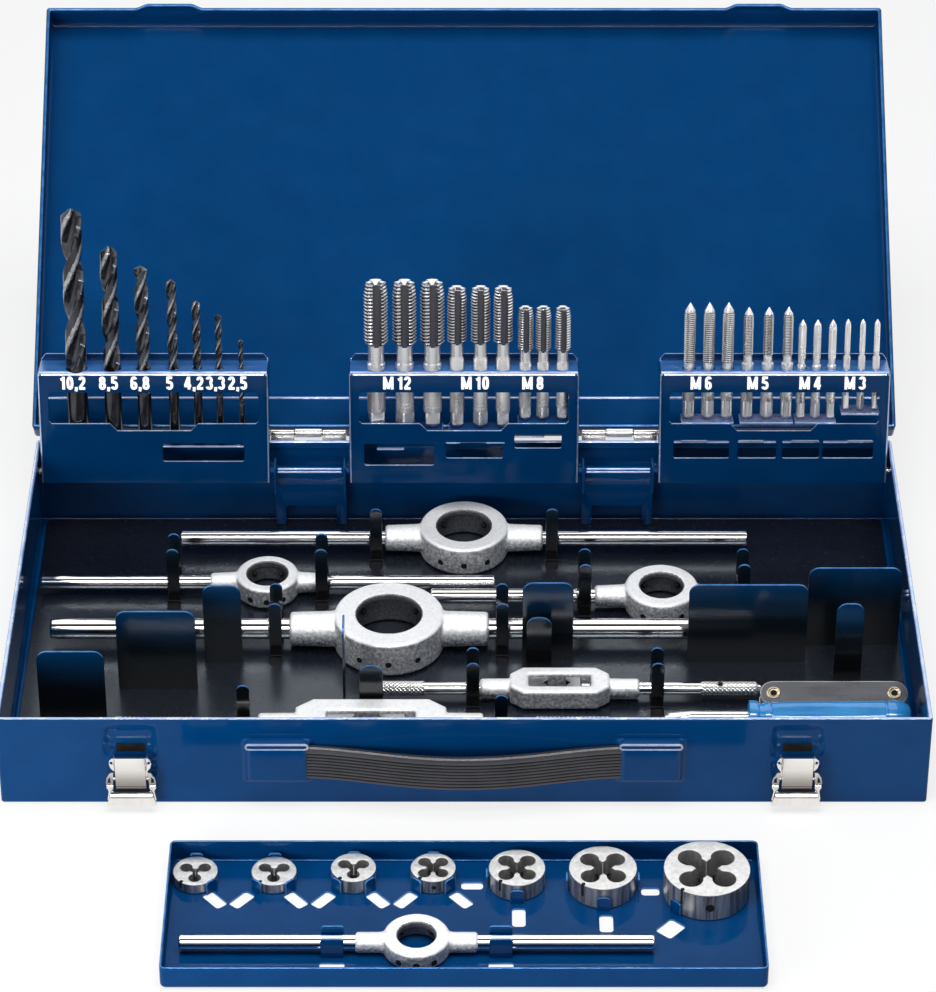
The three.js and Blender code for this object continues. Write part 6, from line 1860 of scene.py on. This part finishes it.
def die_pieces():
    for name, die in DIES.items():
        radius, height = die["outer"] * HALF, die["height"]
        thread_radius = die["thread"] * HALF * 0.72 + 0.3
        opening, neck = clover(die, thread_radius)
        disc = flat_sheet(circle_outline(0.0, 0.0, radius, 96), [opening], height, 0.45)
        marks = []
        for face, mark in zip(disc.faces, disc.marks):
            middle = disc.points[list(face)].mean(axis=0)
            outside = math.hypot(middle[0], middle[1]) > radius - 0.6
            marks.append(1 if mark and outside and abs(middle[2]) < height * HALF - 0.3 else 0)
        disc = Shape(disc.points, disc.faces, marks).shifted(die["x"], die["y"], 1.3 + height * HALF)
        piece(f"{name}_disc", disc, (DIE_MATERIAL, DIE_SIDE_MATERIAL), "tray", [name],
              30.0, flat=True)
        lands = []
        half_neck = math.degrees(math.asin(neck / thread_radius))
        first = -90.0 if die["lobes"] == 3 else 45.0
        for index in range(die["lobes"]):
            start = first + index * 360.0 / die["lobes"] + half_neck + 2.0
            end = first + (index + 1) * 360.0 / die["lobes"] - half_neck - 2.0
            rows = []
            count = int((height - 1.2) / die["pitch"] * 2)
            for step in range(count + 1):
                z = 1.3 + 0.6 + step * die["pitch"] * HALF
                inner = thread_radius - (0.55 * die["pitch"] if step % 2 else 0.0)
                row = arc(0.0, 0.0, inner, start, end, 8)
                row += list(reversed(arc(0.0, 0.0, thread_radius + 0.5, start, end, 8)))
                rows.append([(die["x"] + u, die["y"] + v, z) for u, v in row])
            lands.append(grid(rows, start_cap=True, end_cap=True))
        piece(f"{name}_thread", joined(*lands), BORE_SHADE_MATERIAL, "tray", (), 20.0)
        # black discs under the opening, in the notch and in the dimple: painted shade
        marks = [lathe([(radius * 0.86, 0.0), (radius * 0.86, 0.2)], 40).shifted(die["x"], die["y"], 1.32)]
        notch = lathe([(0.9, -0.2), (0.9, height * 0.55)], 16)
        degrees = -128.0
        marks.append(notch.shifted(die["x"] + (radius - 0.62) * math.cos(rad(degrees)),
                                   die["y"] + (radius - 0.62) * math.sin(rad(degrees)),
                                   1.3 + height * 0.46))
        if die["dimple"]:
            cup = lathe([(radius * 0.105, radius - 0.9), (radius * 0.105, radius + 0.04)], 24).moved(ALONG_X)
            cup = cup.moved(Matrix.Rotation(rad(-88.0), 4, "Z"))
            marks.append(cup.shifted(die["x"], die["y"], 1.3 + height * HALF))
        piece(f"{name}_hollow_shades", joined(*marks), HOLLOW_MATERIAL, "tray")


die_pieces()


# World: white for the camera, and a studio's light and dark bands for reflections
GLOSS_BANDS = [
    # degrees from straight up towards the front, brightness
    (-180.0, 1.5), (-4.0, 1.5), (3.0, 0.03), (29.0, 0.03), (33.0, 1.8), (58.0, 1.8),
    (63.0, 0.10), (75.0, 0.10), (80.0, 0.80), (90.0, 0.80), (180.0, 0.80),
]
AMBIENT = {"color": (0.93, 0.96, 1.0, 1.0), "strength": 0.26}


def make_world():
    world = bpy.data.worlds.new("studio")
    bpy.context.scene.world = world
    world.use_nodes = True
    nodes, links = world.node_tree.nodes, world.node_tree.links
    nodes.clear()

    def add(kind, **inputs):
        node = nodes.new(kind)
        for name, value in inputs.items():
            node.inputs[name.replace("_", " ")].default_value = value
        return node

    out = add("ShaderNodeOutputWorld")
    path = add("ShaderNodeLightPath")
    ambient = add("ShaderNodeBackground", Color=AMBIENT["color"], Strength=AMBIENT["strength"])
    white = add("ShaderNodeBackground", Color=(1.0, 1.0, 1.0, 1.0), Strength=1.0)
    coords = add("ShaderNodeTexCoord")
    split = add("ShaderNodeSeparateXYZ")
    links.new(coords.outputs["Generated"], split.inputs["Vector"])
    front = add("ShaderNodeMath")
    front.operation = "MULTIPLY"
    front.inputs[1].default_value = -1.0
    links.new(split.outputs["Y"], front.inputs[0])
    angle = add("ShaderNodeMath")
    angle.operation = "ARCTAN2"
    links.new(front.outputs[0], angle.inputs[0])
    links.new(split.outputs["Z"], angle.inputs[1])
    share = add("ShaderNodeMapRange", From_Min=-math.pi, From_Max=math.pi, To_Min=0.0, To_Max=1.0)
    links.new(angle.outputs[0], share.inputs["Value"])
    bands = add("ShaderNodeValToRGB")
    elements = bands.color_ramp.elements
    while len(elements) < len(GLOSS_BANDS):
        elements.new(1.0)
    brightest = max(level for _, level in GLOSS_BANDS)
    for element, (degrees, level) in zip(elements, GLOSS_BANDS):
        element.position = (degrees + 180.0) / 360.0
        element.color = (*[level / brightest] * 3, 1.0)
    links.new(share.outputs["Result"], bands.inputs["Fac"])
    glossy = add("ShaderNodeBackground", Strength=brightest)
    links.new(bands.outputs["Color"], glossy.inputs["Color"])
    mix_glossy, mix_seen = add("ShaderNodeMixShader"), add("ShaderNodeMixShader")
    links.new(path.outputs["Is Glossy Ray"], mix_glossy.inputs["Fac"])
    links.new(ambient.outputs[0], mix_glossy.inputs[1])
    links.new(glossy.outputs[0], mix_glossy.inputs[2])
    seen = add("ShaderNodeMath")
    seen.operation = "MAXIMUM"
    links.new(path.outputs["Is Camera Ray"], seen.inputs[0])
    links.new(path.outputs["Is Transmission Ray"], seen.inputs[1])
    links.new(seen.outputs[0], mix_seen.inputs["Fac"])
    links.new(mix_glossy.outputs[0], mix_seen.inputs[1])
    links.new(white.outputs[0], mix_seen.inputs[2])
    links.new(mix_seen.outputs[0], out.inputs["Surface"])


make_world()


def make_lamp(name, place, aim, size, radiance, glossy=True, diffuse=True):
    data = bpy.data.lights.new(name, "AREA")
    data.shape = "RECTANGLE"
    data.size, data.size_y = size
    data.energy = radiance * math.pi * size[0] * size[1]
    lamp = bpy.data.objects.new(name, data)
    lamp.location = place
    direction = Vector(aim) - Vector(place)
    lamp.rotation_euler = direction.to_track_quat("-Z", "Y").to_euler()
    lamp.visible_glossy = glossy
    lamp.visible_diffuse = diffuse
    bpy.context.scene.collection.objects.link(lamp)
    return lamp


make_lamp("strip_light", (0.0, -1.28, 1.55), (0.0, 0.0, 0.05), (1.9, 0.16), 26.0, diffuse=False)
make_lamp("overhead", (0.0, -0.30, 1.75), (0.0, -0.05, 0.05), (1.4, 1.0), 6.2, glossy=False)
make_lamp("low_left", (-0.52, -0.74, 0.20), (-0.14, -0.11, 0.02), (0.4, 0.3), 9.5, glossy=False)

FLOOR_REACH = 6.0
FLOOR_WHITE = {"albedo": 0.92, "own_share": 0.72}


def make_floor():
    mesh = bpy.data.meshes.new("studio_floor")
    corners = [(-FLOOR_REACH, -FLOOR_REACH, 0.0), (FLOOR_REACH, -FLOOR_REACH, 0.0),
               (FLOOR_REACH, FLOOR_REACH, 0.0), (-FLOOR_REACH, FLOOR_REACH, 0.0)]
    mesh.from_pydata(corners, [], [(0, 1, 2, 3)])
    floor = bpy.data.objects.new("studio_floor", mesh)
    bpy.context.scene.collection.objects.link(floor)
    material = bpy.data.materials.new("studio_floor")
    material.use_nodes = True
    nodes, links = material.node_tree.nodes, material.node_tree.links
    nodes.clear()
    out = nodes.new("ShaderNodeOutputMaterial")
    matte = nodes.new("ShaderNodeBsdfDiffuse")
    matte.inputs["Color"].default_value = (*[FLOOR_WHITE["albedo"]] * 3, 1.0)
    white = nodes.new("ShaderNodeEmission")
    white.inputs["Strength"].default_value = 1.0
    path = nodes.new("ShaderNodeLightPath")
    seen = nodes.new("ShaderNodeMath")
    seen.operation = "MAXIMUM"
    links.new(path.outputs["Is Camera Ray"], seen.inputs[0])
    links.new(path.outputs["Is Glossy Ray"], seen.inputs[1])
    share = nodes.new("ShaderNodeMath")
    share.operation = "MULTIPLY"
    share.inputs[1].default_value = FLOOR_WHITE["own_share"]
    links.new(seen.outputs[0], share.inputs[0])
    mix = nodes.new("ShaderNodeMixShader")
    links.new(share.outputs[0], mix.inputs["Fac"])
    links.new(matte.outputs[0], mix.inputs[1])
    links.new(white.outputs[0], mix.inputs[2])
    links.new(mix.outputs[0], out.inputs["Surface"])
    mesh.materials.append(material)


make_floor()
bpy.context.scene.view_settings.view_transform = "Standard"
